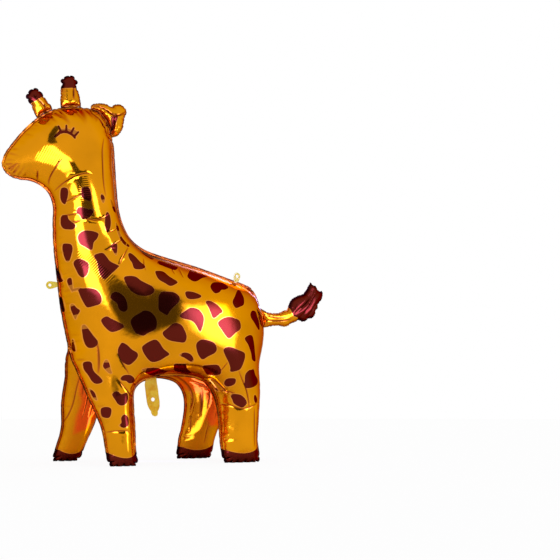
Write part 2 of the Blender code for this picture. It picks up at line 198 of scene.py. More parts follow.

# %% [markdown]
# The spots are printed on the flat film before it is cut, so they belong to the flat drawing too. Each is a
# small closed loop of points. A cell noise could scatter spots by itself, but it can't give the long ones of
# the neck and the broad ones of the flank, so every spot is placed one by one.

# %% Draw the print
SPOTS = [
    [
        (-246, 623), (-238, 622), (-234, 615), (-233, 602), (-234, 594), (-235, 587), (-239, 590),
        (-243, 599), (-246, 613),
    ],
    [
        (-236, 563), (-231, 561), (-229, 552), (-224, 545), (-219, 540), (-217, 535), (-221, 528),
        (-228, 528), (-236, 531), (-240, 540), (-241, 554), (-239, 562),
    ],
    [
        (-232, 497), (-224, 494), (-221, 485), (-222, 470), (-224, 458), (-227, 455), (-230, 460),
        (-234, 474), (-236, 487), (-236, 496),
    ],
    [
        (-210, 460), (-202, 457), (-193, 449), (-192, 438), (-193, 429), (-197, 420), (-203, 417),
        (-209, 424), (-213, 434), (-218, 449), (-216, 457),
    ],
    [
        (-213, 508), (-210, 518), (-201, 524), (-186, 524), (-173, 520), (-171, 516), (-175, 506),
        (-182, 497), (-185, 481), (-190, 480), (-200, 487), (-209, 494),
    ],
    [(-164, 606), (-161, 613), (-157, 611), (-153, 605), (-154, 596), (-158, 592), (-162, 599)],
    [
        (-148, 572), (-141, 566), (-139, 550), (-142, 535), (-149, 522), (-154, 529), (-155, 543),
        (-153, 560),
    ],
    [(-145, 490), (-140, 496), (-130, 498), (-129, 489), (-133, 471), (-136, 471), (-141, 480)],
    [(-136, 605), (-128, 598), (-120, 584), (-119, 573), (-128, 578), (-133, 590)],
    [
        (-125, 550), (-118, 542), (-115, 521), (-106, 507), (-94, 497), (-100, 493), (-113, 500),
        (-121, 517), (-125, 535),
    ],
    [
        (-208, 622), (-199, 625), (-191, 622), (-187, 609), (-186, 598), (-190, 593), (-199, 596),
        (-207, 601), (-209, 612),
    ],
    [
        (-215, 574), (-212, 578), (-205, 578), (-192, 574), (-180, 575), (-183, 565), (-192, 554),
        (-205, 551), (-210, 560), (-216, 565),
    ],
    [
        (-182, 466), (-173, 472), (-163, 473), (-156, 465), (-148, 454), (-130, 445), (-132, 441),
        (-145, 428), (-161, 413), (-167, 417), (-172, 428), (-176, 452),
    ],
    [
        (-104, 474), (-97, 478), (-86, 471), (-76, 459), (-65, 449), (-71, 442), (-84, 439), (-95, 441),
        (-98, 454), (-103, 463),
    ],
    [(-66, 489), (-52, 488), (-33, 484), (-23, 477), (-36, 469), (-49, 474), (-59, 481)],
    [(-28, 460), (-13, 469), (6, 468), (31, 462), (37, 458), (19, 447), (2, 450), (-17, 456)],
    [(48, 435), (79, 458), (97, 450), (123, 443), (92, 433), (68, 422), (54, 423)],
    [
        (-121, 417), (-110, 422), (-94, 421), (-83, 413), (-69, 406), (-57, 400), (-53, 391), (-60, 382),
        (-74, 377), (-92, 378), (-106, 386), (-115, 398),
    ],
    [
        (-42, 436), (-33, 440), (-18, 439), (-7, 429), (4, 422), (13, 416), (4, 409), (-11, 404),
        (-23, 410), (-38, 419),
    ],
    [
        (-45, 377), (-36, 388), (-18, 390), (-2, 388), (8, 378), (3, 366), (-12, 353), (-21, 344),
        (-29, 334), (-38, 338), (-48, 346), (-47, 364),
    ],
    [(25, 389), (32, 394), (51, 393), (69, 386), (60, 379), (38, 375), (27, 378)],
    [
        (3, 336), (17, 346), (31, 354), (47, 354), (58, 348), (65, 335), (63, 320), (57, 305), (52, 299),
        (47, 306), (41, 316), (33, 323), (22, 326), (7, 329),
    ],
    [
        (-151, 372), (-146, 382), (-136, 384), (-124, 375), (-118, 363), (-117, 345), (-125, 339),
        (-134, 345), (-138, 358), (-146, 365),
    ],
    [
        (-111, 315), (-106, 327), (-93, 336), (-81, 343), (-67, 340), (-56, 327), (-54, 312), (-58, 301),
        (-73, 293), (-84, 286), (-95, 289), (-103, 295),
    ],
    [
        (-41, 294), (-30, 304), (-16, 315), (-5, 317), (6, 312), (14, 299), (18, 286), (13, 274), (-4, 274),
        (-24, 277), (-36, 284),
    ],
    [
        (77, 371), (88, 375), (104, 370), (115, 362), (122, 351), (111, 344), (98, 335), (90, 334),
        (86, 345), (82, 358),
    ],
    [
        (-87, 259), (-81, 267), (-68, 275), (-57, 278), (-48, 272), (-37, 258), (-22, 247), (-30, 240),
        (-45, 231), (-59, 228), (-69, 232), (-81, 245),
    ],
    [
        (-136, 255), (-131, 267), (-127, 270), (-118, 265), (-108, 255), (-97, 248), (-95, 240),
        (-101, 230), (-112, 221), (-122, 223), (-131, 232), (-135, 242),
    ],
    [(3, 245), (14, 251), (28, 249), (38, 241), (41, 231), (32, 232), (17, 239)],
    [
        (43, 269), (49, 278), (60, 282), (81, 279), (93, 273), (98, 261), (93, 252), (77, 244), (65, 237),
        (57, 240), (48, 252),
    ],
    [
        (-82, 211), (-73, 214), (-52, 216), (-35, 214), (-9, 209), (-10, 205), (-14, 199), (-45, 199),
        (-70, 204),
    ],
    [
        (-5, 223), (-1, 226), (16, 226), (25, 225), (34, 217), (50, 210), (60, 206), (54, 205), (32, 207),
        (6, 212),
    ],
    [
        (68, 222), (87, 225), (105, 225), (114, 217), (117, 213), (118, 204), (108, 202), (94, 203),
        (82, 210),
    ],
    [
        (-132, 189), (-126, 197), (-114, 199), (-104, 196), (-96, 188), (-99, 182), (-111, 180),
        (-119, 185), (-129, 186),
    ],
    [
        (105, 412), (118, 423), (136, 427), (159, 427), (166, 416), (150, 408), (137, 406), (127, 399),
        (113, 395), (106, 401),
    ],
    [
        (191, 409), (205, 414), (205, 405), (205, 390), (197, 374), (182, 367), (165, 363), (160, 377),
        (174, 393),
    ],
    [
        (103, 322), (119, 334), (138, 339), (155, 337), (171, 331), (171, 313), (153, 301), (135, 288),
        (125, 291), (112, 307),
    ],
    [
        (214, 352), (224, 361), (238, 360), (242, 348), (247, 334), (246, 314), (235, 319), (223, 332),
        (214, 342),
    ],
    [
        (182, 289), (196, 298), (211, 298), (217, 282), (220, 260), (222, 238), (207, 240), (203, 255),
        (193, 275),
    ],
    [
        (116, 259), (123, 266), (138, 267), (157, 262), (178, 256), (181, 247), (177, 235), (168, 219),
        (158, 213), (140, 210), (138, 219), (132, 232), (123, 245),
    ],
    [
        (-248, 464), (-243, 455), (-236, 437), (-232, 420), (-230, 414), (-231, 411), (-233, 412),
        (-238, 426), (-244, 442), (-247, 455),
    ],
    [
        (-225, 414), (-222, 419), (-219, 416), (-217, 404), (-216, 389), (-216, 386), (-220, 396),
        (-223, 405),
    ],
    [(-230, 379), (-227, 374), (-224, 360), (-221, 345), (-223, 344), (-228, 356), (-233, 366)],
    [
        (-216, 359), (-212, 358), (-207, 350), (-202, 343), (-205, 332), (-206, 324), (-210, 334),
        (-214, 345),
    ],
    [
        (-209, 395), (-202, 393), (-190, 393), (-178, 389), (-170, 379), (-167, 367), (-170, 357),
        (-179, 353), (-188, 350), (-193, 351), (-200, 365), (-205, 379),
    ],
    [
        (-167, 321), (-158, 329), (-149, 324), (-137, 317), (-124, 308), (-130, 300), (-144, 294),
        (-152, 296), (-162, 308),
    ],
    [
        (-196, 307), (-193, 312), (-187, 303), (-179, 288), (-171, 273), (-174, 262), (-182, 259),
        (-187, 264), (-192, 281),
    ],
    [(-205, 280), (-204, 281), (-202, 273), (-200, 264), (-200, 253), (-202, 253), (-203, 265)],
    [
        (-192, 226), (-189, 229), (-183, 229), (-180, 224), (-179, 213), (-176, 204), (-169, 194),
        (-165, 185), (-169, 180), (-176, 179), (-181, 185), (-185, 197), (-190, 209), (-192, 218),
    ],
    [
        (-163, 221), (-160, 230), (-156, 232), (-152, 223), (-150, 211), (-148, 202), (-153, 202),
        (-159, 209), (-163, 216),
    ],
    [
        (-150, 155), (-143, 162), (-136, 161), (-131, 156), (-117, 159), (-113, 148), (-120, 135),
        (-131, 131), (-139, 134), (-144, 142),
    ],
    [
        (-185, 169), (-182, 166), (-178, 159), (-176, 148), (-175, 144), (-176, 142), (-180, 147),
        (-183, 157),
    ],
    [
        (-170, 122), (-167, 127), (-159, 128), (-153, 124), (-153, 114), (-156, 105), (-162, 104),
        (-168, 108),
    ],
    [
        (-134, 104), (-128, 111), (-121, 110), (-115, 102), (-117, 89), (-127, 83), (-135, 84), (-139, 88),
        (-134, 94),
    ],
    [
        (179, 193), (182, 206), (194, 215), (205, 217), (212, 220), (219, 205), (229, 194), (224, 183),
        (201, 174), (179, 174),
    ],
    [(132, 184), (135, 194), (152, 195), (155, 188), (151, 180), (139, 176)],
    [(148, 158), (166, 157), (178, 148), (182, 139), (179, 133), (169, 127), (155, 135), (151, 145)],
    [(204, 149), (209, 158), (217, 149), (214, 139), (207, 139)],
    [(106, 190), (109, 189), (119, 179), (128, 167), (128, 165), (124, 169), (116, 180)],
]
EYE = [(-272, 734), (-265, 741), (-260, 746), (-251, 748), (-243, 747), (-234, 742), (-228, 735)]
LASHES = [
    [(-258, 745), (-262, 762)],
    [(-247, 748), (-245, 765)],
    [(-237, 745), (-229, 760)],
    [(-230, 738), (-219, 751)],
]
# Half the width of a stroke: the eye's at its ends and in its middle, a lash's at its foot and its tip.
EYE_WIDTHS = (0.0026, 0.0037)
LASH_WIDTHS = (0.0028, 0.0021)
# The top edge of each hoof's print: its middle and height there, half its width and its rise at the sides.
HOOF_TOPS = [((-130, 18), (37, 14)), ((167, 22), (40, 10))]
PRINT_REACH = 0.015
SPOT_STEP = 0.0026
STROKE_STEP = 0.0013


def loop(points, step):
    """A closed Catmull-Rom loop through given points."""
    ring = metres(points)
    long = flowing(np.vstack([ring[-2:], ring, ring[:2]]), 8)
    return evenly(long[16:-8], step)[:-1]


def stroke_sides(points, widths, step):
    """The two edges of a pen stroke that narrows from its middle, or from its foot, to its end."""
    line = evenly(flowing(metres(points)), step)
    side = left_of(line)
    width = stroke_width(np.linspace(0, 1, len(line)), widths)[:, None]
    return [line, line + side * width, line - side * width]


def stroke_width(share, widths):
    """Half the width of a stroke. The eye is thickest in its middle, a lash at its foot."""
    if widths[1] > widths[0]:
        return widths[0] + (widths[1] - widths[0]) * np.sin(math.pi * share)
    return widths[0] + (widths[1] - widths[0]) * share


spot_loops = [loop(spot, SPOT_STEP) for spot in SPOTS]
strokes = [(EYE, EYE_WIDTHS), *((lash, LASH_WIDTHS) for lash in LASHES)]
print(len(SPOTS), "spots and", len(strokes), "strokes of a closed eye")

# %% [markdown]
# To be blown up, the flat film needs a net of small triangles. Close to the seam the film turns steeply,
# and the puckers are only a few millimetres wide, so rows of points follow the edge there. Further in, an
# even lattice is enough. The edges of the spots get points of their own, which keeps the print crisp.
# Blender's Delaunay call joins them all.

# %% Net a flat film
SEAM_ROWS = [0.0017, 0.0034, 0.0050]
ROLL_ROWS = [0.0054, 0.0062, 0.0074, 0.0090, 0.0110, 0.0135, 0.0165, 0.0200, 0.0240]
LATTICE_STEP = 0.0050
CELL = 0.0050
MARK_CLEARANCE = 0.0005
MARK_GAP = 0.0008
ROW_CLEARANCE = 0.97
LATTICE_GAP = 0.72


def along(points, line):
    """Each point's distance to a line, and how far along the line the nearest place is."""
    tree = KDTree(len(line))
    for k, (x, z) in enumerate(line):
        tree.insert((x, z, 0), k)
    tree.balance()
    near = np.array([tree.find((x, z, 0))[1] for x, z in points], int)
    run = runs(line)
    best = np.full(len(points), np.inf)
    place = np.zeros(len(points))
    for first in (near - 1, near):
        k = np.clip(first, 0, len(line) - 2)
        a, span = line[k], line[k + 1] - line[k]
        t = np.clip(((points - a) * span).sum(1) / np.maximum((span**2).sum(1), 1e-18), 0, 1)
        d = np.linalg.norm(points - a - t[:, None] * span, axis=1)
        closer = d < best
        best[closer] = d[closer]
        place[closer] = (run[k] + t * (run[k + 1] - run[k]))[closer]
    return best, place


def inside(points, ring):
    """Whether each point is inside a closed ring, by counting crossings."""
    x, z = points[:, 0], points[:, 1]
    found = np.zeros(len(points), bool)
    for (x0, z0), (x1, z1) in zip(ring, np.roll(ring, -1, axis=0)):
        crosses = (z0 > z) != (z1 > z)
        found ^= crosses & (x < x0 + (z - z0) * (x1 - x0) / (z1 - z0 if z1 != z0 else 1e-12))
    return found


def thinned(groups):
    """Points of all groups in order, without those nearer than their group's gap to one already kept."""
    cells, kept = {}, []
    for points, gap in groups:
        for x, z in points:
            cell = (int(x // CELL), int(z // CELL))
            around = [
                q for i in (-1, 0, 1) for j in (-1, 0, 1) for q in cells.get((cell[0] + i, cell[1] + j), ())
            ]
            if all((x - q[0]) ** 2 + (z - q[1]) ** 2 > gap * gap for q in around):
                cells.setdefault(cell, []).append((x, z))
                kept.append((x, z))
    return kept


def inward_of(ring):
    """The direction into a counterclockwise ring, at each of its points."""
    tangent = np.roll(ring, -1, axis=0) - np.roll(ring, 1, axis=0)
    inward = np.column_stack([-tangent[:, 1], tangent[:, 0]])
    return inward / np.linalg.norm(inward, axis=1)[:, None]


def net(ring, marks, rows, step):
    """A triangle net of the area inside a counterclockwise ring, with points on every mark."""
    closed = joined(ring)
    inward = inward_of(ring)
    groups = [(ring, 0.0)]
    if marks:
        drawn = np.vstack(marks)
        drawn = drawn[inside(drawn, ring)]
        groups.append((drawn[along(drawn, closed)[0] > MARK_CLEARANCE], MARK_GAP))
    for depth, gap in rows:
        row = ring + inward * depth
        clear = (along(row, closed)[0] > ROW_CLEARANCE * depth) & inside(row, ring)
        groups.append((row[clear], gap))
    low, high = ring.min(axis=0), ring.max(axis=0)
    levels = np.arange(low[1], high[1], step * math.sqrt(0.75))
    starts = [low[0] + step / 2 * (k % 2) for k in range(len(levels))]
    lattice = np.array([(x, z) for start, z in zip(starts, levels) for x in np.arange(start, high[0], step)])
    lattice = lattice[inside(lattice, ring)]
    groups.append((lattice[along(lattice, closed)[0] > rows[-1][0] + 0.5 * step], LATTICE_GAP * step))
    kept = thinned(groups)
    made = delaunay_2d_cdt([Vector(p) for p in kept], [], [list(range(len(ring)))], 1, 1e-8)
    points = np.array([tuple(p) for p in made[0]])
    triangles = np.array([tuple(f) for f in made[2]], int)
    a, b, c = (points[triangles[:, k]] for k in range(3))
    area = np.abs((b - a)[:, 0] * (c - a)[:, 1] - (b - a)[:, 1] * (c - a)[:, 0])
    return points, triangles[area > 1e-12]


def graded(depths, first_gap, last_gap):
    """Rows at these depths, each with the gap that its points keep from the others."""
    return [(d, g) for d, g in zip(depths, np.linspace(first_gap, last_gap, len(depths)))]


BODY_ROWS = [*((d, 0.0002) for d in SEAM_ROWS), *graded(ROLL_ROWS, 0.0003, 0.0030)]

# %% [markdown]
# Gas pushes each film out evenly, and the seam holds it. A soap film on a wire loop solves the same
# problem, so the bulge comes from one linear system over the net: every point is the weighted mean of its
# neighbours plus a small push. The root of that height gives a round tube where the film is narrow.
# Blender's cloth with pressure could inflate it as well, but it would not land on the CAD's shape to the
# millimetre, and this does.

# %% Blow up a film
BODY_FULLNESS = 0.86
LEG_FULLNESS = 0.92
BELLY_SPREAD = 0.074
SPLIT_REACH = 0.160
FOOT_FLARE = 1.3
FRONT_FOOT_SPREAD = 0.152
HIND_FOOT_SPREAD = 0.128
INNER_CLEARANCE = 0.0006
BELLY_LEVEL = metres(BELLY)[:, 1].max()
MOST_ROUNDS = 4000
CLOSE_ENOUGH = 1e-12
STIFFEST = 20


def skin(points, triangles, held, values, push):
    """Heights of an even skin held at some points and pushed evenly elsewhere, by conjugate gradients."""
    count = len(points)
    ends, weights = [], []
    area = np.zeros(count)
    for turn in range(3):
        i, j, k = (triangles[:, (turn + step) % 3] for step in range(3))
        u, v = points[i] - points[k], points[j] - points[k]
        twice_area = np.abs(u[:, 0] * v[:, 1] - u[:, 1] * v[:, 0])
        ends.append((i, j))
        weights.append(np.clip(0.5 * (u * v).sum(1) / twice_area, -STIFFEST, STIFFEST))
        area += np.bincount(k, twice_area / 6, count)
    i = np.concatenate([e[0] for e in ends])
    j = np.concatenate([e[1] for e in ends])
    w = np.concatenate(weights)
    diagonal = np.bincount(i, w, count) + np.bincount(j, w, count)
    free = (~held).astype(float)
    scale = free / np.maximum(diagonal, 1e-9)

    def pull(h):
        return diagonal * h - np.bincount(i, w * h[j], count) - np.bincount(j, w * h[i], count)

    heights = np.where(held, values, 0.0)
    rest = free * (push * area - pull(heights))
    aimed = scale * rest
    way = aimed.copy()
    energy = rest @ aimed
    goal = energy * CLOSE_ENOUGH
    for _ in range(MOST_ROUNDS):
        if energy <= goal:
            break
        pulled = free * pull(way)
        step = energy / (way @ pulled)
        heights += step * way
        rest -= step * pulled
        aimed = scale * rest
        fresh = rest @ aimed
        way = aimed + fresh / energy * way
        energy = fresh
    return heights


def bulge(points, triangles, held):
    """How far the gas pushes a film out at each point, before its fullness."""
    return np.sqrt(np.maximum(skin(points, triangles, held, np.zeros(len(points)), 2.0), 0))


def spread(points):
    """How far the lower seam stands from the middle plane, by its place in the side view."""
    splits = metres([CHEST[-1], RUMP[0]])
    reach = np.min([np.linalg.norm(points - s, axis=1) for s in splits], axis=0)
    opening = BELLY_SPREAD * np.sin(math.pi / 2 * np.clip(reach / SPLIT_REACH, 0, 1))
    down = np.clip(1 - points[:, 1] / BELLY_LEVEL, 0, 1)
    foot = np.where(points[:, 0] < metres(BELLY)[2, 0], FRONT_FOOT_SPREAD, HIND_FOOT_SPREAD)
    return opening + (foot - BELLY_SPREAD) * down**FOOT_FLARE


# %% [markdown]
# A sealed edge is longer than the path it has to take once the film is round, so it gathers. Each gather is
# a narrow valley that starts at the seam and dies out further in. They crowd where the outline bulges, as
# at nose, crown, rump and hooves, and are few and short where it is hollow, as at nape and throat. The rim
# between them waves to and fro. Modelling them as real relief, and not as bump, lets the mirror finish
# break up the way foil does.

# %% Gather the seams
GATHER_GAPS = (0.024, 0.011)
GATHER_WIDTHS = (0.0022, 0.0042)
GATHER_SLANT = 0.28
GATHER_REACH = (0.010, 0.018)
GATHER_SPAN = 0.03
WAVE_WIDTH = 0.006
TURN_SPAN = 0.014
STRAIGHT_STRENGTH = 0.30
LEAST_STRENGTH = 0.12
FULL_TURN = 26
ROOT_MARGIN = 0.012


def turning(line):
    """How sharply a line turns at each point, per metre, smoothed over the turn span. Bulges are positive."""
    tangent = np.gradient(line, axis=0)
    heading = np.unwrap(np.arctan2(tangent[:, 1], tangent[:, 0]))
    run = runs(line)
    step = run[1]
    reach = np.arange(-3 * TURN_SPAN, 3 * TURN_SPAN + step, step)
    weight = np.exp(-((reach / TURN_SPAN) ** 2))
    padded = np.pad(heading, len(reach) // 2, mode="edge")
    smooth = np.convolve(padded, weight / weight.sum(), mode="valid")[: len(line)]
    return np.gradient(smooth, run)


def gather(line, seed, roots=()):
    """Gathers along a seam: place, strength, width, reach and slant of each."""
    draw = np.random.default_rng(seed)
    run = runs(line)
    strength = np.clip(STRAIGHT_STRENGTH + turning(line) / FULL_TURN, LEAST_STRENGTH, 1.0)
    for root in roots:
        mid = metres(root).mean(axis=0)
        near = np.linalg.norm(line - mid, axis=1)
        half = np.linalg.norm(np.diff(metres(root), axis=0)) / 2 + ROOT_MARGIN
        strength = np.where(near < half, np.maximum(strength, 1.0), strength)
    at = 0.008
    found = []
    while at < run[-1] - 0.004:
        here = float(np.interp(at, run, strength))
        found.append((
            at,
            here * draw.uniform(0.45, 1.25),
            draw.uniform(*GATHER_WIDTHS),
            (GATHER_REACH[0] + GATHER_REACH[1] * here) * draw.uniform(0.6, 1.4),
            draw.uniform(-GATHER_SLANT, GATHER_SLANT),
        ))
        at += draw.uniform(0.65, 1.4) * (GATHER_GAPS[0] + (GATHER_GAPS[1] - GATHER_GAPS[0]) * here)
    return found


def valleys(gathers, run, depth):
    """How deep the gathers are at each place: 1 in the middle of a strong one, at the seam."""
    total = np.zeros(len(run))
    for at, strength, width, reach, slant in gathers:
        near = (np.abs(run - at) < GATHER_SPAN) & (depth < 2.2 * reach)
        off = run[near] - at - slant * depth[near]
        wide = width * (1 + depth[near] / 0.030)
        total[near] += strength * np.exp(-np.abs(off / wide) ** 1.5 - (depth[near] / reach) ** 2)
    return total


def waves(gathers, run):
    """The to-and-fro of the rim: one gather goes left and the next one right."""
    total = np.zeros(len(run))
    for k, (at, strength, _, _, _) in enumerate(gathers):
        near = np.abs(run - at) < GATHER_SPAN
        total[near] += (1 - 2 * (k % 2)) * strength * np.exp(-(((run[near] - at) / WAVE_WIDTH) ** 2))
    return total


def smooth_step(low, high, value):
    """0 below low, 1 above high, and a soft rise between."""
    t = np.clip((value - low) / (high - low), 0, 1)
    return t * t * (3 - 2 * t)


print("sharpest bulge of the outline", round(float(turning(upper_edge).max())), "radians a metre")

# %% [markdown]
# Where a small bag is welded on, the seam has to gather more. Under the hooves the outline is a row of
# broad lobes instead, with one pleat at each notch, because the leg's tube is sealed flat across the sole.

# %% Place the gathers and the hooves' pleats
FRONT_HORN_ROOT = ((-261, 817), (-298, 792))
REAR_HORN_ROOT = ((-190, 830), (-241, 821))
EAR_ROOT = ((-109, 768), (-165, 830))
TAIL_ROOT = ((304, 328), (293, 382))
LOBE_HEIGHT = 0.030
LOBE_GAP = 8 * runs(lower_edge)[1]
PLEAT = (0.5, 0.0028, 0.010, 0.0)


def hoof_pleats(line):
    """A pleat at each notch between a hoof's lobes, in the same five numbers as a gather."""
    run = runs(line)
    places = np.arange(LOBE_GAP, run[-1], LOBE_GAP)
    return [(at, *PLEAT) for at in places if np.interp(at, run, line[:, 1]) <= LOBE_HEIGHT]


def notches(run, gap):
    """Round lobes with a narrow notch between each two: 1 in a notch, 0 in the middle of a lobe."""
    off = 2 * np.mod(run / gap, 1) - 1
    return 1 - np.sqrt(np.maximum(1 - off**2, 0))


upper_gathers = gather(upper_edge, 11, (FRONT_HORN_ROOT, REAR_HORN_ROOT, EAR_ROOT, TAIL_ROOT))
lower_gathers = [
    g for g in gather(lower_edge, 23)
    if np.interp(g[0], runs(lower_edge), lower_edge[:, 1]) > LOBE_HEIGHT
]
pleats = hoof_pleats(lower_edge)
print(len(upper_gathers), "gathers over the back,", len(lower_gathers), "along the legs")

# %% [markdown]
# Pulled between two bulges, film also folds in long thin lines: across the throat and the neck, down the
# back of the head, fanning out under the ear, and round the tops of the legs. Each is a shallow groove with
# a lip on both sides, pressed into the film along a drawn line.

# %% Draw the long creases
# Each crease: its line, half the groove's width and its depth, both in millimetres.
CREASES = [
    ([(-151, 752), (-159, 717), (-158, 669), (-155, 635), (-149, 607)], 1.8, 1.4),
    ([(-122, 752), (-128, 725), (-131, 690), (-126, 655)], 1.8, 1.4),
    ([(-110, 748), (-116, 715), (-116, 684), (-112, 650)], 1.8, 1.2),
    ([(-155, 828), (-140, 816), (-127, 799), (-119, 780), (-116, 758)], 2.4, 4.2),
    ([(-163, 823), (-148, 809), (-136, 793), (-128, 775), (-125, 755)], 2.4, 4.0),
    ([(-171, 817), (-158, 803), (-146, 787), (-138, 770), (-135, 756)], 2.2, 3.0),
    ([(-268, 629), (-272, 642), (-270, 657), (-263, 672), (-254, 685)], 1.5, 1.3),
    ([(-290, 634), (-296, 648), (-301, 660)], 1.4, 1.1),
    ([(-257, 616), (-253, 623), (-245, 633), (-234, 641), (-223, 648), (-205, 655), (-185, 656)], 1.5, 1.5),
    ([(-240, 590), (-226, 598), (-219, 601), (-206, 606)], 1.3, 1.0),
    ([(-240, 560), (-231, 562), (-224, 562), (-212, 567)], 1.3, 1.0),
    ([(-228, 548), (-218, 545), (-207, 549)], 1.3, 1.0),
    ([(-210, 550), (-193, 551), (-176, 550), (-156, 557), (-140, 568)], 1.5, 1.4),
    ([(-153, 524), (-138, 527), (-122, 537)], 1.3, 1.0),
    ([(-160, 478), (-146, 487), (-126, 502), (-110, 512)], 1.5, 1.2),
    ([(-131, 445), (-115, 471), (-98, 494)], 1.5, 1.3),
    ([(-173, 277), (-170, 250), (-170, 221), (-172, 200)], 1.8, 1.3),
    ([(-137, 252), (-126, 223), (-111, 198)], 1.5, 1.2),
    ([(115, 210), (122, 221), (131, 233)], 1.4, 1.0),
    ([(160, 216), (172, 192), (182, 170), (187, 145), (188, 118)], 1.8, 1.5),
    ([(205, 128), (203, 104), (201, 70), (200, 34)], 1.6, 1.6),
    ([(222, 150), (222, 104), (218, 70), (214, 40)], 1.5, 1.3),
    ([(-104, 150), (-101, 110), (-99, 66), (-99, 34)], 1.6, 1.1),
    ([(-93, 140), (-92, 110), (-91, 66)], 1.3, 1.2),
    ([(128, 140), (138, 135), (150, 131), (165, 125), (182, 126), (206, 134), (224, 144)], 1.5, 1.0),
    ([(-168, 72), (-157, 74), (-142, 76), (-127, 76), (-112, 72)], 1.4, 0.9),
    ([(-92, 150), (-108, 158), (-124, 172), (-136, 190)], 1.5, 1.3),
    ([(-72, 172), (-88, 176), (-104, 188)], 1.4, 1.2),
    ([(36, 455), (33, 440), (34, 427)], 1.4, 1.0),
    ([(14, 462), (11, 446), (13, 434)], 1.4, 1.0),
    ([(-62, 470), (-67, 452), (-66, 436)], 1.4, 1.0),
    ([(96, 196), (112, 192), (130, 176), (144, 158)], 1.8, 2.0),
    ([(128, 168), (142, 164), (156, 160)], 1.4, 1.2),
]
# Where leg and belly meet, the inner films crowd together and throw back each other's gold. These zones get
# that reflection painted on, deep orange.
BUNCH_REFLECTION_ZONES = [
    [
        (-194, 264), (-168, 173), (-150, 138), (-150, 105), (-142, 66), (-119, 75), (-98, 98), (-98, 157),
        (-122, 215), (-148, 264),
    ],
    [
        (104, 224), (172, 211), (209, 184), (234, 146), (236, 87), (186, 82), (170, 102), (170, 134),
        (152, 158), (104, 180),
    ],
]
# Fine ripples: a patch's middle, the heading of its ripples in degrees, and half its size across and along.
RIPPLES = [((-279, 688), 66, 24, 17), ((-203, 620), 8, 26, 9), ((-186, 446), 48, 38, 12)]
RIPPLE_GAP = 0.0046
CREASE_STEP = 0.0020
CREASE_MARK_STEP = 0.0030
CREASE_LIP = 0.35
INNER_CREASES = [
    ([(-181, 253), (-170, 215), (-160, 175), (-153, 150)], 1.8, 2.2),
    ([(-175, 240), (-173, 180), (-166, 121), (-172, 44)], 1.3, 1.0),
    ([(-60, 200), (-85, 182), (-94, 155), (-97, 112)], 1.6, 1.4),
    ([(60, 207), (95, 200), (122, 180), (137, 150), (139, 110)], 1.6, 1.2),
    ([(90, 219), (120, 214), (150, 190), (165, 158), (168, 125)], 1.8, 1.6),
    ([(144, 175), (152, 145), (157, 107)], 2.2, 2.4),
    ([(140, 107), (141, 87), (142, 67)], 1.2, 0.9),
    ([(179, 92), (179, 64), (179, 37)], 1.4, 1.1),
    ([(-172, 246), (-154, 190), (-140, 140), (-136, 96)], 1.5, 2.2),
    ([(-158, 240), (-138, 192), (-124, 150), (-120, 104)], 1.3, 2.0),
    ([(-148, 222), (-128, 186), (-114, 150), (-112, 108)], 1.3, 1.8),
    ([(114, 210), (160, 200), (194, 174), (216, 138), (220, 96)], 1.4, 2.2),
    ([(115, 200), (155, 190), (184, 165), (203, 134), (206, 98)], 1.3, 2.0),
    ([(118, 192), (150, 178), (175, 157), (190, 128), (193, 98)], 1.3, 1.8),
]


def crease_marks(creases):
    """Points along each crease and on both sides of it, so that the net can carry the groove."""
    found = []
    for line, half_width, _ in creases:
        run = evenly(flowing(metres(line)), CREASE_MARK_STEP)
        side = left_of(run)
        found += [run + side * half_width * DRAWING_UNIT * share for share in (0, 0.8, -0.8, 1.8, -1.8)]
    return found


def close_to(points, line, reach):
    """Which points lie in a line's box, widened by a reach on all sides."""
    return (points > line.min(0) - reach).all(1) & (points < line.max(0) + reach).all(1)


def near_creases(points, creases, reach):
    """The points near each crease, how far off they are, its half width and depth, and its fading ends."""
    for line, half_width, deep in creases:
        curve = evenly(flowing(metres(line)), CREASE_STEP)
        wide = half_width * DRAWING_UNIT
        box = close_to(points, curve, reach * wide)
        if box.any():
            off, run = along(points[box], curve)
            share = np.clip(run / runs(curve)[-1], 0, 1)
            yield box, off, wide, deep, np.sqrt(np.clip(np.sin(math.pi * share), 0, 1))


def grooves(points, creases):
    """How far the creases press the film in at each point, in metres."""
    total = np.zeros(len(points))
    for box, off, wide, deep, fade in near_creases(points, creases, 4):
        groove = np.exp(-((off / wide) ** 2)) - CREASE_LIP * np.exp(-(((off - 2 * wide) / wide) ** 2))
        total[box] += deep * DRAWING_UNIT * fade * groove
    return total


def crease_shade(points, creases):
    """How far into a crease each point is, as painted shade: 1 in the middle of a deep one."""
    total = np.zeros(len(points))
    for box, off, wide, deep, fade in near_creases(points, creases, 3):
        fold_shade = fade * min(1, 0.45 + deep / 3) * np.exp(-((off / wide) ** 2))
        total[box] = np.maximum(total[box], fold_shade)
    return total


def rippled(points):
    """How strong the fine ripples are at each point, and how far across its patch it is, in ripples."""
    strength, run = np.zeros(len(points)), np.zeros(len(points))
    for middle, heading, across, along_them in RIPPLES:
        way = np.array([math.cos(math.radians(heading)), math.sin(math.radians(heading))])
        off = points - metres([middle])
        a, b = off @ (-way[1], way[0]), off @ way
        here = np.exp(-((a / metres([across])) ** 4) - (b / metres([along_them])) ** 4)
        run = np.where(here > strength, a / RIPPLE_GAP, run)
        strength = np.maximum(strength, here)
    return strength, run


print(len(CREASES) + len(INNER_CREASES), "long creases")

# %% [markdown]
# The material must know where the ink is. A picture of the spots would blur in a close view, so every point
# of the net measures how deep it is inside the nearest spot, stroke or hoof, and the ink starts where that
# depth is zero.

# %% Measure the print
def ring_depth(points, ring):
    """How deep inside a closed ring each point is, in metres. It is negative outside."""
    off = along(points, joined(ring))[0]
    return np.where(inside(points, ring), off, -off)


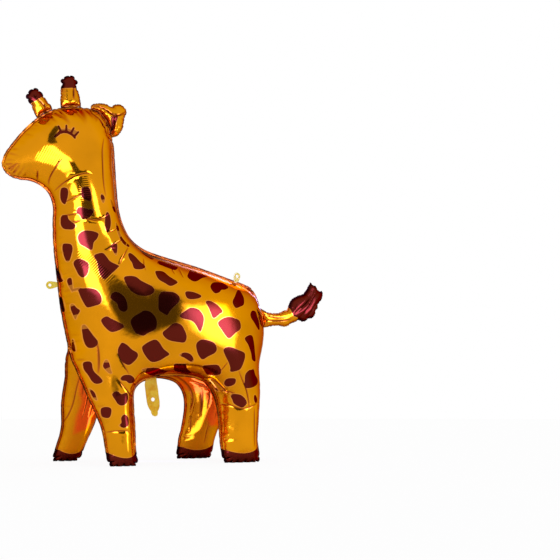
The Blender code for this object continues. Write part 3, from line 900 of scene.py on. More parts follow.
def print_depth(points):
    """How deep inside the print each point is, in metres. It is negative outside."""
    deep = np.full(len(points), -PRINT_REACH)
    for ring in spot_loops:
        box = close_to(points, ring, PRINT_REACH)
        if box.any():
            deep[box] = np.maximum(deep[box], ring_depth(points[box], ring))
    for line, widths in strokes:
        curve = evenly(flowing(metres(line)), 0.0010)
        off, run = along(points, curve)
        deep = np.maximum(deep, stroke_width(run / runs(curve)[-1], widths) - off)
    return deep


def hoof_depth(points):
    """How far below the top edge of the hooves' print each point is, in metres."""
    deep = np.full(len(points), -PRINT_REACH)
    for (middle, low), (half, rise) in HOOF_TOPS:
        off = (points[:, 0] / DRAWING_UNIT - middle) / half
        top = (low + rise * off**2) * DRAWING_UNIT
        own = np.abs(off) < 1.6
        deep[own] = np.maximum(deep[own], (top - points[:, 1])[own])
    return np.maximum(deep, -PRINT_REACH)


def hoof_marks():
    """Points along the top edge of each hoof's print."""
    made = []
    for (middle, low), (half, rise) in HOOF_TOPS:
        off = np.linspace(-1.3, 1.3, 40)
        made.append(metres(np.column_stack([middle + half * off, low + rise * off**2])))
    return made


print("hoof print up to", [low + rise for (_, low), (_, rise) in HOOF_TOPS], "mm")

# %% [markdown]
# The relief goes on last: each point of the blown film moves along the film's own outward direction, in by
# the depth of the puckers and creases that reach it, and the rim waves and is scalloped. Displacement in
# the material could do this at render time only, while moved points stay with the mesh when it leaves
# Blender.

# %% Press the relief into a film
PUCKER_DEPTH = 0.0034
RIM_WAVE = 0.0020
RIM_SCALLOP = 0.0016
LOBE_NOTCH = 0.0050
SOLE_NOTCH = 0.0140
LOBE_REACH = 0.012
SNOUT_NARROWING = 0.20
BELLY_SLACK = -0.30
BELLY_REACH = 0.030
FLANGE_SHOW = 0.004
SEAM_PINCH = 0.30
PINCH_REACH = 0.020
ON_SEAM = 1.001
RIM_REACH = 0.010
SPLIT_FADE = 0.05
PRINTED_SEED, PLAIN_SEED = 3, 8
# Where an effect starts and is full, from the seam inwards or along an axis.
PUCKER_RAMP = (0.0045, 0.0090)
CREASE_RAMP = (0.004, 0.010)
DENT_RAMP = (0.006, 0.020)
FLANGE_RAMP = (0.0090, 0.0065)
BUNCH_REFLECTION_RAMP = (-0.006, 0.005)
SNOUT_FORWARD, SNOUT_UP = (-0.235, -0.430), (0.595, 0.640)
BELLY_FRONT, BELLY_BACK = (-0.080, -0.030), (0.140, 0.080)
DENT_DEPTH = 0.0004
DENT_SIZE = 0.080


def lobes(points, run, depth):
    """How far a hoof's edge is pulled in: a notch between each two round lobes, deepest under the sole."""
    notch = notches(run, LOBE_GAP)
    low = smooth_step(0, 0.5, np.clip(1 - points[:, 1] / LOBE_HEIGHT, 0, 1))
    under = smooth_step(0.006, -0.004, points[:, 1] - depth)
    deepest = LOBE_NOTCH + (SOLE_NOTCH - LOBE_NOTCH) * under
    return deepest * notch * low * np.exp(-((depth / LOBE_REACH) ** 2))


def nearest(line, point):
    """Which point of a line is nearest to a point."""
    return int(np.argmin(np.linalg.norm(line - point, axis=1)))


def pinched(across, seam_place, edge):
    """The film's stand-off near a seam, where the two films part at less than a right angle."""
    return seam_place + (across - seam_place) * (1 - SEAM_PINCH * np.exp(-((edge / PINCH_REACH) ** 2)))


def normals_of(points, triangles):
    """Outward directions at the points of a net in space, on the +Y side."""
    a, b, c = (points[triangles[:, k]] for k in range(3))
    face = np.cross(b - a, c - a)
    face[face[:, 1] < 0] *= -1
    total = np.zeros_like(points)
    for k in range(3):
        for axis in range(3):
            total[:, axis] += np.bincount(triangles[:, k], face[:, axis], len(points))
    return total / np.maximum(np.linalg.norm(total, axis=1), 1e-15)[:, None]


def dents(space, seed):
    """Slow, shallow waviness of the film, which no real foil is free of."""
    shift = Vector((seed * 1.7, seed * 0.9, seed * 2.3))
    return DENT_DEPTH * np.array([noise.noise(Vector(p) / DENT_SIZE + shift) for p in space])


def relief(points, triangles, across, to_upper, run_upper, to_lower, run_lower, side, creases):
    """Puckers, lobes, creases and dents on a blown film, and its numbers for the material."""
    space = np.column_stack([points[:, 0], across, points[:, 1]])
    outward = normals_of(space, triangles) * side
    pressed = np.zeros(len(points))
    along_seams = ((upper_gathers, run_upper, to_upper), (lower_gathers + pleats, run_lower, to_lower))
    for gathers, run, off in along_seams:
        deep = np.maximum(off - SEAM_WIDTH, 0)
        pressed += PUCKER_DEPTH * valleys(gathers, run, deep) * smooth_step(*PUCKER_RAMP, off)
    edge = np.minimum(to_upper, to_lower)
    pressed += grooves(points, creases) * smooth_step(*CREASE_RAMP, edge)
    # Painted shade: the fold number turns puckers and creases deep red-orange, and puts broken dark marks on
    # the flange that stands out over nape and back.
    fold_shade = np.clip(pressed / (1.1 * PUCKER_DEPTH), 0, 1) * 0.7
    fold_shade = np.maximum(fold_shade, crease_shade(points, creases))
    shown = shown_flange(run_upper) * smooth_step(*FLANGE_RAMP, to_upper)
    flange_shade_flecks = 0.50 + 0.5 * valleys(upper_gathers, run_upper, np.zeros(len(points)))
    fold_shade = np.maximum(fold_shade, shown * np.minimum(flange_shade_flecks, 1))
    pressed += dents(space, PRINTED_SEED if side > 0 else PLAIN_SEED) * smooth_step(*DENT_RAMP, edge)
    space -= outward * pressed[:, None]
    inward = pull_in(points, upper_edge, to_upper, run_upper, upper_gathers)
    inward += pull_in(points, lower_edge, to_lower, run_lower, lower_gathers)
    space[:, [0, 2]] += inward
    space[:, 1] += rim_wave(lower_gathers, lower_edge, run_lower, to_lower)
    space[:, 1] = np.maximum(space[:, 1], 0)
    space[:, 2] = np.maximum(space[:, 2], 0)
    strength, ripple_run = rippled(points) if side > 0 else (np.zeros(len(points)), np.zeros(len(points)))
    return {
        "fold": fold_shade,
        "bunch": np.zeros(len(points)),
        "ripple": strength,
        "ripple_run": ripple_run,
        "space": space,
        "triangles": triangles,
        "wave": rim_wave(upper_gathers, upper_edge, run_upper, to_upper),
        "print": np.maximum(print_depth(points), hoof_depth(points)) if side > 0 else hoof_depth(points),
        "seam_depth": edge,
        "seam_run": np.where(to_upper < to_lower, run_upper, run_lower),
    }


def rim_wave(gathers, line, run, off):
    """The rim's wave along a seam, which dies out inwards and at the seam's two ends."""
    wave = RIM_WAVE * waves(gathers, run) * np.clip(1 - off / RIM_REACH, 0, 1)
    from_split = np.minimum(run, runs(line)[-1] - run)
    return wave * np.clip(from_split / SPLIT_FADE, 0, 1)


def pull_in(points, line, off, run, gathers):
    """The rim's scallops and the hooves' lobes, as moves within the drawing."""
    across = left_of(line)
    at = runs(line)
    way = np.column_stack([np.interp(run, at, across[:, k]) for k in (0, 1)])
    size = RIM_SCALLOP * valleys(gathers, run, np.zeros(len(run))) * np.clip(1 - off / SEAM_WIDTH, 0, 1)
    if line is lower_edge:
        size += lobes(points, run, off)
    else:
        size -= FLANGE_SHOW * shown_flange(run) * np.clip(1 - off / (2 * SEAM_WIDTH), 0, 1)
    return way * size[:, None]


def shown_flange(run):
    """The stretch over nape and back, where the flat seam stands out past the bulge."""
    low, high = (runs(upper_edge)[nearest(upper_edge, metres(p))] for p in (RUMP[-3], NAPE[-1]))
    return smooth_step(low - 0.02, low + 0.02, run) * smooth_step(high + 0.01, high - 0.04, run)


print("puckers", 1000 * PUCKER_DEPTH, "mm deep at most, rim waving by", 1000 * RIM_WAVE, "mm")

# %% [markdown]
# Now the body. The +Y half is built and mirrored, and the rim's wave is added after the mirror, because
# left and right film share one rim over the back. The hooves are pinched into broad lobes at the sole,
# where the tube of the leg is sealed flat. Every point also gets seven numbers for the material: how deep
# inside the print it is, how far it is from the seam and how far along it, how much painted shade it gets
# from folds, puckers and the flange over nape and back, how much painted reflection it gets where the inner
# films crowd together, and how strong the fine ripples are and which part of a ripple it is on.

# %% Build the body's films
def side_film():
    """The printed film of the +Y side: drawing points, points in space, triangles and the rim's wave."""
    ring = np.vstack([upper_edge[:-1], lower_edge[:-1]])
    marks = [*spot_loops, *hoof_marks()]
    for line, widths in strokes:
        marks += stroke_sides(line, widths, STROKE_STEP)
    marks += crease_marks(CREASES)
    points, triangles = net(ring, marks, BODY_ROWS, LATTICE_STEP)
    to_upper, run_upper = along(points, upper_edge)
    to_lower, run_lower = along(points, lower_edge)
    edge = np.minimum(to_upper, to_lower)
    in_seam = edge <= SEAM_WIDTH * ON_SEAM
    place = skin(points, triangles, in_seam, np.where(to_lower <= to_upper, spread(points), 0.0), 0.0)
    legs = np.clip(1 - points[:, 1] / BELLY_LEVEL, 0, 1)
    fullness = BODY_FULLNESS + (LEG_FULLNESS - BODY_FULLNESS) * np.minimum(1, 3 * legs)
    film = SEAM_THICKNESS / 2 * np.clip(edge / SEAM_WIDTH, 0, 1)
    snout = smooth_step(*SNOUT_FORWARD, points[:, 0]) * smooth_step(*SNOUT_UP, points[:, 1])
    belly = smooth_step(*BELLY_FRONT, points[:, 0]) * smooth_step(*BELLY_BACK, points[:, 0])
    blown = pinched(fullness * bulge(points, triangles, in_seam), 0, edge) * (1 - SNOUT_NARROWING * snout)
    blown *= 1 - BELLY_SLACK * belly * np.exp(-((to_lower / BELLY_REACH) ** 2))
    across = place + film + blown
    return relief(points, triangles, across, to_upper, run_upper, to_lower, run_lower, 1.0, CREASES)


def inner_film():
    """The plain film between the legs of the +Y side, from the lower seam to the fold in the middle plane."""
    fold = evenly(flowing(metres([CHEST[-1], *FOLD, RUMP[0]])), 0.004)
    ring = np.vstack([lower_edge[:-1], fold[:0:-1]])
    marks = hoof_marks() + crease_marks(INNER_CREASES)
    points, triangles = net(ring, marks, BODY_ROWS, LATTICE_STEP)
    to_lower, run_lower = along(points, lower_edge)
    to_fold = along(points, fold)[0]
    on_fold = to_fold < 1e-6
    in_seam = (to_lower <= SEAM_WIDTH * ON_SEAM) & ~on_fold
    held = in_seam | on_fold
    place = skin(points, triangles, held, np.where(in_seam, spread(points), 0.0), 0.0)
    film = SEAM_THICKNESS / 2 * np.clip(to_lower / SEAM_WIDTH, 0, 1)
    across = np.maximum(place - film - LEG_FULLNESS * bulge(points, triangles, held), INNER_CLEARANCE)
    rim = to_lower < 1e-7
    across[rim] = spread(points[rim])
    across[on_fold] = 0
    far = np.full(len(points), 1.0)
    made = relief(points, triangles, across, far, far, to_lower, run_lower, -1.0, INNER_CREASES)
    # Painted reflection: deep orange where the inner films crowd together and throw back each other's gold.
    for zone in BUNCH_REFLECTION_ZONES:
        within = smooth_step(*BUNCH_REFLECTION_RAMP, ring_depth(points, metres(zone)))
        made["bunch"] = np.maximum(made["bunch"], within)
    stand = made["space"][:, 1]
    made["space"][:, 1] = np.where(on_fold, 0, np.where(rim, stand, np.maximum(stand, INNER_CLEARANCE)))
    return made


printed_film = side_film()
plain_film = inner_film()
print("side film", len(printed_film["triangles"]), "triangles; inner film", len(plain_film["triangles"]))

# %% [markdown]
# The four films are welded where their rims meet. The seven numbers of each point become mesh attributes,
# which a material can read by name. Flat shading would show every triangle in a mirror finish, so the films
# are shaded smoothly, and only the rim's edge stays sharp.

# %% Weld the body
SHARP_ANGLE = math.radians(60)
WELD_REACH = 1e-6
FRONT_STRIDE = 0.023
MARKS = ("print", "seam_depth", "seam_run", "fold", "bunch", "ripple", "ripple_run")


def mirrored(film):
    """The film of the -Y side."""
    return {**film, "space": film["space"] * (1, -1, 1)}


def stepped(film):
    """The film of the +Y side, with its front leg a little ahead, most of all at the hoof."""
    space = film["space"].copy()
    down = np.clip(1 - space[:, 2] / BELLY_LEVEL, 0, 1)
    space[:, 0] -= FRONT_STRIDE * (space[:, 0] < metres(BELLY)[2, 0]) * down**FOOT_FLARE
    return {**film, "space": space}


def welded(name, films):
    """One closed mesh of films that share their rims, standing over the frame's origin."""
    places, faces, marks, count = [], [], {m: [] for m in MARKS}, 0
    for film in films:
        wave = film["wave"]
        space = film["space"] + np.column_stack([np.full(len(wave), -DRAWING_MIDDLE), wave, 0 * wave])
        places.append(space)
        faces.append(film["triangles"] + count)
        count += len(space)
        for m in MARKS:
            marks[m].append(film[m])
    mesh = bpy.data.meshes.new(name)
    mesh.from_pydata(np.vstack(places).tolist(), [], np.vstack(faces).tolist())
    for m in MARKS:
        values = np.concatenate(marks[m]).astype(np.float32)
        mesh.attributes.new(m, "FLOAT", "POINT").data.foreach_set("value", values)
    bm = bmesh.new()
    bm.from_mesh(mesh)
    bmesh.ops.remove_doubles(bm, verts=bm.verts, dist=WELD_REACH)
    bmesh.ops.recalc_face_normals(bm, faces=bm.faces)
    open_edges = sum(not e.is_manifold for e in bm.edges)
    bm.to_mesh(mesh)
    bm.free()
    mesh.shade_smooth()
    mesh.set_sharp_from_angle(angle=SHARP_ANGLE)
    print(name, len(mesh.polygons), "triangles,", open_edges, "open edges")
    return put(name, mesh)


films = [side(film) for film in (printed_film, plain_film) for side in (stepped, mirrored)]
body = welded("balloon_body", films)
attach(body, "root")
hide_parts("balloon")

# %% [markdown]
# Horns, ear and tail are little bags of their own, cut from the same printed film and welded to the body's
# seam while it is still flat. They are small, so their gathers are close together and run nearly across
# them, and each has a few deep folds that are drawn.

# %% Draw horns, ear and tail
CHAMBER_FULLNESS = 0.80
CHAMBER_SEAM_WIDTH = 0.0035
WELD_OVERLAP = 0.0012
CHAMBER_STEP = 0.0020
CHAMBER_ROWS = [
    *((d, 0.0002) for d in (0.0012, 0.0024, 0.0035)),
    *graded([0.0039, 0.0047, 0.0060, 0.0078], 0.0004, 0.0016),
]
CHAMBER_LATTICE = 0.0026
CHAMBER_PUCKER = 0.0017
CHAMBER_SCALLOP = 0.0018
CHAMBER_WAVE = 0.0011
CHAMBER_RIM_REACH = 0.006
CHAMBER_LEAST = 0.0008
CHAMBER_RAMP = (0.003, 0.007)
ROOT_RAMP = (0.008, 0.016)
ROOT_REACH = 0.015
HORN_NOTCH = 0.0042
HORN_LOBES = 9
TIP_STEP = 0.0015

FRONT_HORN = [
    (-263, 824), (-268, 828), (-276, 838), (-281, 845), (-287, 852), (-292, 857), (-304, 859),
    (-315, 851), (-322, 840), (-322, 831), (-316, 823), (-309, 817), (-307, 808), (-302, 798),
]
REAR_HORN = [
    (-190, 837), (-191, 845), (-195, 863), (-201, 873), (-200, 880), (-199, 890), (-206, 899), (-211, 902),
    (-219, 903), (-226, 900), (-235, 895), (-241, 886), (-239, 876), (-241, 865), (-241, 852), (-241, 838),
]
EAR = [
    (-106, 768), (-93, 775), (-83, 793), (-80, 809), (-78, 821), (-74, 832), (-78, 844), (-92, 851),
    (-107, 848), (-114, 842), (-123, 846), (-139, 847), (-156, 844), (-165, 837),
]
TAIL = [
    (310, 329), (323, 331), (346, 335), (366, 333), (380, 336), (391, 343), (403, 347), (411, 352),
    (422, 348), (434, 351), (442, 357), (454, 359), (463, 370), (465, 380), (472, 387), (470, 395),
    (477, 401), (485, 413), (487, 425), (485, 433), (477, 431), (470, 437), (464, 445), (456, 446),
    (449, 454), (442, 445), (436, 434), (424, 421), (411, 417), (397, 410), (386, 401), (380, 387),
    (376, 378), (366, 375), (353, 369), (338, 367), (319, 369), (304, 375),
]
FRONT_TIP = [
    (-330, 816), (-315, 819), (-311, 821), (-304, 825), (-296, 831), (-282, 842), (-277, 846), (-262, 862),
    (-300, 885), (-345, 870), (-350, 830),
]
REAR_TIP = [
    (-255, 866), (-244, 867), (-237, 867), (-227, 867), (-209, 870), (-193, 877), (-175, 886), (-185, 925),
    (-260, 925),
]
TUFT = [
    (370, 410), (378, 395), (381, 387), (383, 371), (387, 361), (402, 357), (407, 350), (412, 335),
    (520, 330), (520, 480), (380, 470),
]
# The ear's pocket is painted shade: the dark inside of its fold, printed in burgundy ink.
EAR_POCKET_SHADE = [(-119, 814), (-111, 816), (-103, 817), (-107, 797), (-113, 779), (-116, 797)]
HORN_FOLDS = [
    ([(-300, 833), (-289, 823), (-275, 812)], 2.2, 2.6),
    ([(-306, 836), (-300, 846), (-292, 852)], 1.8, 1.0),
]
REAR_FOLDS = [
    ([(-212, 873), (-213, 858), (-212, 842)], 2.6, 3.0),
    ([(-226, 872), (-222, 884), (-215, 896)], 1.8, 1.4),
]
EAR_FOLDS = [
    ([(-111, 819), (-112, 798), (-113, 776)], 4.0, 4.2),
    ([(-166, 838), (-147, 836), (-132, 830), (-118, 820), (-103, 819), (-90, 824), (-77, 834)], 2.4, 3.0),
    ([(-146, 828), (-134, 812), (-124, 794), (-116, 777)], 2.2, 2.4),
]
TAIL_FOLDS = [
    ([(303, 362), (320, 358), (344, 355), (374, 357)], 2.0, 1.5),
    ([(309, 347), (332, 346), (362, 348), (386, 354)], 2.0, 1.5),
    ([(389, 365), (407, 381), (425, 397), (441, 417), (452, 438)], 3.4, 3.6),
    ([(408, 356), (425, 377), (438, 395), (452, 414), (470, 425)], 3.2, 3.4),
    ([(428, 358), (444, 376), (455, 392), (470, 408)], 3.0, 3.0),
]
print("outline points", [len(outline) for outline in (FRONT_HORN, REAR_HORN, EAR, TAIL)])

# %% [markdown]
# Each bag goes through the same steps as the body: net, gas, puckers, folds, mirror, weld. Its root follows
# the body's seam just inside the rim and takes over the body's own wave there, so that the two stay
# together.

# %% Build horns, ear and tail
def weld_line(first, last):
    """The stretch of the body's seam between two landmarks, just inside the body's rim."""
    ends = [nearest(upper_edge, metres(p)) for p in (first, last)]
    step = 1 if ends[1] >= ends[0] else -1
    walk = (upper_edge + left_of(upper_edge) * WELD_OVERLAP)[range(ends[0], ends[1] + step, step)]
    return evenly(walk, CHAMBER_STEP)


def small_gathers(line, seed):
    """Gathers round a small bag, in the same five numbers as those of the body."""
    draw = np.random.default_rng(seed)
    total, at, found = runs(line)[-1], 0.004, []
    while at < total - 0.003:
        found.append((
            at,
            draw.uniform(0.3, 1.1),
            draw.uniform(0.0014, 0.0024),
            draw.uniform(0.005, 0.012),
            draw.uniform(-0.3, 0.3),
        ))
        at += draw.uniform(0.0055, 0.0100)
    return found


def chamber(name, node, root, outline, folds, tip, seed):
    """A small bag with its root along the body's seam, gathered, with folds pressed in, and printed.

    Painted shade goes into its folds and puckers, and the ear's pocket is painted shade printed in ink.
    """
    root_line = weld_line(*root)
    free = flowing(np.vstack([root_line[:1], metres(outline), root_line[-1:]]))
    ring = np.vstack([evenly(free, CHAMBER_STEP)[:-1], root_line[:0:-1]])
    closed = joined(ring)
    marks = [*crease_marks(folds), evenly(metres(tip + tip[:1]), TIP_STEP)]
    points, triangles = net(ring, marks, CHAMBER_ROWS, CHAMBER_LATTICE)
    off, run = along(points, closed)
    sealed = off <= CHAMBER_SEAM_WIDTH * ON_SEAM
    film = SEAM_THICKNESS / 2 * np.clip(off / CHAMBER_SEAM_WIDTH, 0, 1)
    across = film + CHAMBER_FULLNESS * bulge(points, triangles, sealed)
    space = np.column_stack([points[:, 0], across, points[:, 1]])
    gathers = small_gathers(closed, seed)
    pressed = CHAMBER_PUCKER * valleys(gathers, run, np.maximum(off - CHAMBER_SEAM_WIDTH, 0))
    pressed += grooves(points, folds)
    pressed *= smooth_step(*CHAMBER_RAMP, off)
    pressed = np.minimum(pressed, np.maximum(across - CHAMBER_LEAST, 0))
    space -= normals_of(space, triangles) * pressed[:, None]
    space[:, 1] = np.maximum(space[:, 1], 0)
    inward = joined(inward_of(ring))
    way = np.column_stack([np.interp(run, runs(closed), inward[:, k]) for k in (0, 1)])
    from_root, run_root = along(points, upper_edge)
    rim = np.clip(1 - off / CHAMBER_RIM_REACH, 0, 1)
    scallop = CHAMBER_SCALLOP * valleys(gathers, run, np.zeros(len(run))) * rim
    if name.startswith("horn"):
        on_tip = smooth_step(-0.004, 0.0, ring_depth(points, metres(tip)))
        lobe = HORN_NOTCH * notches(run, HORN_LOBES * runs(closed)[1]) * np.clip(1 - off / RIM_REACH, 0, 1)
        scallop += (lobe - scallop) * on_tip
    space[:, [0, 2]] += way * (scallop * smooth_step(*ROOT_RAMP, from_root))[:, None]
    near_root = np.exp(-((from_root / ROOT_REACH) ** 2))
    own_wave = CHAMBER_WAVE * waves(gathers, run) * rim * (1 - near_root)
    raised = triangles[across[triangles].max(axis=1) > 1e-6]
    nowhere = np.zeros(len(points))
    half = {
        "space": space,
        "triangles": raised,
        "wave": own_wave + RIM_WAVE * waves(upper_gathers, run_root) * near_root,
        # Painted shade in folds and puckers. The print number also holds the ear's pocket, painted shade in
        # ink.
        "fold": np.maximum(crease_shade(points, folds), np.clip(pressed / CHAMBER_PUCKER, 0, 1) * 0.6),
        "print": np.maximum(ring_depth(points, metres(tip)), -PRINT_REACH),
        "seam_depth": off,
        "seam_run": run,
        "bunch": nowhere,
        "ripple": nowhere,
        "ripple_run": nowhere,
    }
    made = welded(name, [half, mirrored(half)])
    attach(made, "root")
    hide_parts(node)
    return made


chambers = [
    chamber("horn_front", "front_horn", FRONT_HORN_ROOT, FRONT_HORN, HORN_FOLDS, FRONT_TIP, 31),
    chamber("horn_rear", "rear_horn", REAR_HORN_ROOT, REAR_HORN, REAR_FOLDS, REAR_TIP, 32),
    chamber("folded_ear", "ear", EAR_ROOT, EAR, EAR_FOLDS, EAR_POCKET_SHADE, 33),
    chamber("tufted_tail", "tail", TAIL_ROOT, TAIL, TAIL_FOLDS, TUFT, 34),
]

# %% [markdown]
# Two small tabs stand out of the seam, for a ribbon, and the filling neck hangs from the belly seam, where
# the valve is. They are bare film without print, so they are thin, a little wavy and see-through. A plane
# with a Boolean hole would do, but the same net as before gives a clean hole and room for the waves.

# %% Build the tabs
TAB_THICKNESS = 0.0007
TAB_STEP = 0.0010
TAB_WAVE = 0.0007
HANG_TAB_LENGTH = 0.026
HANG_TAB_WIDTH = 0.018
HANG_TAB_HOLE = 0.0035
FILL_TAB_LENGTH = 0.062
FILL_TAB_WIDTH = 0.032
FILL_TAB_HOLE = 0.0045
FILL_TAB_HOLE_DROP = 0.038
FILL_TIP_LENGTH = 0.015
FILL_TIP_WIDTH = 0.017
FILL_TAB_SLANT = 0.012
FILL_TAB_OVERLAP = 0.0025
CHEST_HOLE = (-254.2, 404.0)
RUMP_HOLE = (230.4, 455.1)
FILL_HOLE = (-29.7, 145.5)
TAB_ROWS = [(0.0008, 0.0003), (0.0018, 0.0006)]
TAB_LATTICE = 0.0020
TAB_LIP = 0.0003
HOLE_CORNERS = 32


def tab(name, node, outline, hole, radius, across, seed):
    """A thin wavy sheet with a round hole, in a plane of constant Y."""
    ring = evenly(joined(outline), TAB_STEP)[:-1]
    turned = np.diff(joined(ring), axis=0)
    if np.sum(ring[:, 0] * turned[:, 1] - ring[:, 1] * turned[:, 0]) < 0:
        ring = ring[::-1]
    turn = np.linspace(0, 2 * math.pi, HOLE_CORNERS + 1)[:-1]
    circle = [hole + radius * share * np.column_stack([np.cos(turn), np.sin(turn)]) for share in (1.0, 1.18)]
    points, triangles = net(ring, circle, TAB_ROWS, TAB_LATTICE)
    middle = points[triangles].mean(axis=1)
    triangles = triangles[np.linalg.norm(middle - hole, axis=1) > radius * 0.985]
    shift = Vector((seed, seed * 2.1, 0))
    wave = TAB_WAVE * np.array([noise.noise(Vector((x, z, 0)) / 0.013 + shift) for x, z in points])
    lip = TAB_LIP * np.exp(-((along(points, joined(ring))[0] / 0.0012) ** 2))
    lip += TAB_LIP * np.exp(-(((np.linalg.norm(points - hole, axis=1) - radius) / 0.0010) ** 2))
    used = np.unique(triangles)
    again = np.full(len(points), -1)
    again[used] = np.arange(len(used))
    space = np.column_stack([points[:, 0] - DRAWING_MIDDLE, across + wave + lip, points[:, 1]])[used]
    mesh = bpy.data.meshes.new(name)
    mesh.from_pydata(space.tolist(), [], again[triangles].tolist())
    mesh.shade_smooth()
    made = put(name, mesh)
    thick = made.modifiers.new("film thickness", "SOLIDIFY")
    thick.thickness = TAB_THICKNESS
    thick.offset = 0
    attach(made, "root")
    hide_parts(node)
    print(name, len(triangles), "triangles a side")
    return made


def hanging_tab(name, node, hole, seed):
    """A short rounded tab that stands straight out of the body's seam."""
    hole = metres(hole)
    near = nearest(upper_edge, hole)
    way = upper_edge[near + 1] - upper_edge[near - 1]
    way /= np.linalg.norm(way)
    outward = np.array([way[1], -way[0]])
    half = HANG_TAB_WIDTH / 2
    foot = hole - outward * (HANG_TAB_LENGTH - half + 0.001)
    turn = np.linspace(0, math.pi, 13)
    tip = [hole + outward * half * math.sin(t) - way * half * math.cos(t) for t in turn]
    neck = 0.3 * HANG_TAB_WIDTH
    shoulder = [hole - outward * half * 0.6 + way * half * 0.92 * side for side in (-1, 1)]
    outline = np.array([foot + way * neck, foot - way * neck, shoulder[0], *tip, shoulder[1]])
    return tab(name, node, outline, hole, HANG_TAB_HOLE, 0.0, seed)


def filling_tab():
    """The flat filling neck with its shoulders, its hole and its narrow tip."""
    hole = metres(FILL_HOLE)
    lean = FILL_TAB_SLANT / (FILL_TAB_LENGTH + FILL_TIP_LENGTH)
    level = hole[1] + FILL_TAB_HOLE_DROP
    middle = hole[0] - lean * FILL_TAB_HOLE_DROP
    half, tip_half = FILL_TAB_WIDTH / 2, FILL_TIP_WIDTH / 2
    end = level - FILL_TAB_LENGTH
    shoulder = half - tip_half
    right = [
        (half * 0.97, level - shoulder * 0.5), (half, level - shoulder), (half, end + 0.018),
        (half * 0.90, end + 0.008), (half * 0.68, end), (tip_half * 0.96, end - 0.003),
        (tip_half, end - FILL_TIP_LENGTH + tip_half),
        (tip_half * 0.71, end - FILL_TIP_LENGTH + tip_half * 0.29), (0.0, end - FILL_TIP_LENGTH),
    ]
    sides = [*((-x, z) for x, z in right), *right[-2::-1]]
    outline = [(middle + x + lean * (level - z), z) for x, z in sides]
    belly = lower_edge[np.abs(lower_edge[:, 0] - middle) < FILL_TAB_WIDTH]
    belly = belly[belly[:, 1] > level - shoulder]
    belly = belly[np.argsort(belly[:, 0])]
    weld = np.linspace(half * 0.84, -half * 0.84, 9) + middle
    top = [(x, np.interp(x, belly[:, 0], belly[:, 1]) + FILL_TAB_OVERLAP) for x in weld]
    across = -float(spread(np.array([[middle, level]]))[0]) - 2 * TAB_THICKNESS
    return tab("filling_neck", "filling_tab", np.array(outline + top), hole, FILL_TAB_HOLE, across, 5)


tabs = [
    hanging_tab("tab_chest", "chest_tab", CHEST_HOLE, 3),
    hanging_tab("tab_rump", "rump_tab", RUMP_HOLE, 4),
    filling_tab(),
]

# %% [markdown]
# Node trees written out link by link are long to read. A few helpers each add one node and hand back its
# output, so that a material reads like a sum.

# %% Make helpers for nodes
def group(name, inputs, outputs):
    """An empty node group with its sockets: (name, kind, value) for inputs and (name, kind) for outputs."""
    made = bpy.data.node_groups.new(name, "ShaderNodeTree")
    for label, kind, value in inputs:
        made.interface.new_socket(label, in_out="INPUT", socket_type=kind).default_value = value
    for label, kind in outputs:
        made.interface.new_socket(label, in_out="OUTPUT", socket_type=kind)
    return made, made.nodes.new("NodeGroupInput"), made.nodes.new("NodeGroupOutput")


def feed(tree, socket, value):
    """Gives a socket a number, a colour or another node's output."""
    if isinstance(value, bpy.types.NodeSocket):
        tree.links.new(value, socket)
    else:
        socket.default_value = value


def number(tree, operation, a, b=0.0):
    """A Math node. Each input is a number or another node's output."""
    made = tree.nodes.new("ShaderNodeMath")
    made.operation = operation
    for socket, value in zip(made.inputs, (a, b)):
        feed(tree, socket, value)
    return made.outputs[0]


def mark(tree, name):
    """One of the mesh's numbers, by its name."""
    made = tree.nodes.new("ShaderNodeAttribute")
    made.attribute_name = name
    return made.outputs["Fac"]


def remap(tree, value, from_low, from_high, to_low=0.0, to_high=1.0):
    """A Map Range node that holds its ends."""
    made = tree.nodes.new("ShaderNodeMapRange")
    labels = ("Value", "From Min", "From Max", "To Min", "To Max")
    for label, given in zip(labels, (value, from_low, from_high, to_low, to_high)):
        feed(tree, made.inputs[label], given)
    return made.outputs["Result"]


def blend(tree, share, a, b):
    """A colour mix. Each colour is a value or another node's output."""
    made = tree.nodes.new("ShaderNodeMix")
    made.data_type = "RGBA"
    tree.links.new(share, made.inputs["Factor"])
    for socket, value in zip([s for s in made.inputs if s.type == "RGBA"], (a, b)):
        feed(tree, socket, value)
    return [s for s in made.outputs if s.type == "RGBA"][0]


def cloud(tree, scale, detail, roughness=0.5):
    """Noise over the object's own space."""
    place = tree.nodes.new("ShaderNodeTexCoord")
    made = tree.nodes.new("ShaderNodeTexNoise")
    tree.links.new(place.outputs["Object"], made.inputs["Vector"])
    feed(tree, made.inputs["Scale"], scale)
    made.inputs["Detail"].default_value = detail
    made.inputs["Roughness"].default_value = roughness
    return made.outputs["Fac"]


print("node helpers", [f.__name__ for f in (group, feed, number, mark, remap, blend, cloud)])

# %% [markdown]
# Effects that several materials share are node groups. The first prints burgundy ink over gold where the
# "print" number is above zero, with the thin pale line that the real print has round each spot. It also
# paints shade and reflection: deep red-orange in folds and just inside the seam, dark along the rim, and
# deep orange where the inner films crowd together and throw back each other's gold. The second is the film
# itself: a faint orange-peel relief with fine wrinkles near the seam, and a roughness that varies a little.
# The third presses the sealing iron's fine ribs into the flat seam, and a few patches of fine ripples into
# the film.

# %% Build the shared node groups
# Painted shade along the rim where it is inked, nearly black.
INKED_RIM_SHADE = (0.018, 0.003, 0.004, 1)
INK_EDGE = 0.00015
LINE_EDGE = 0.0003


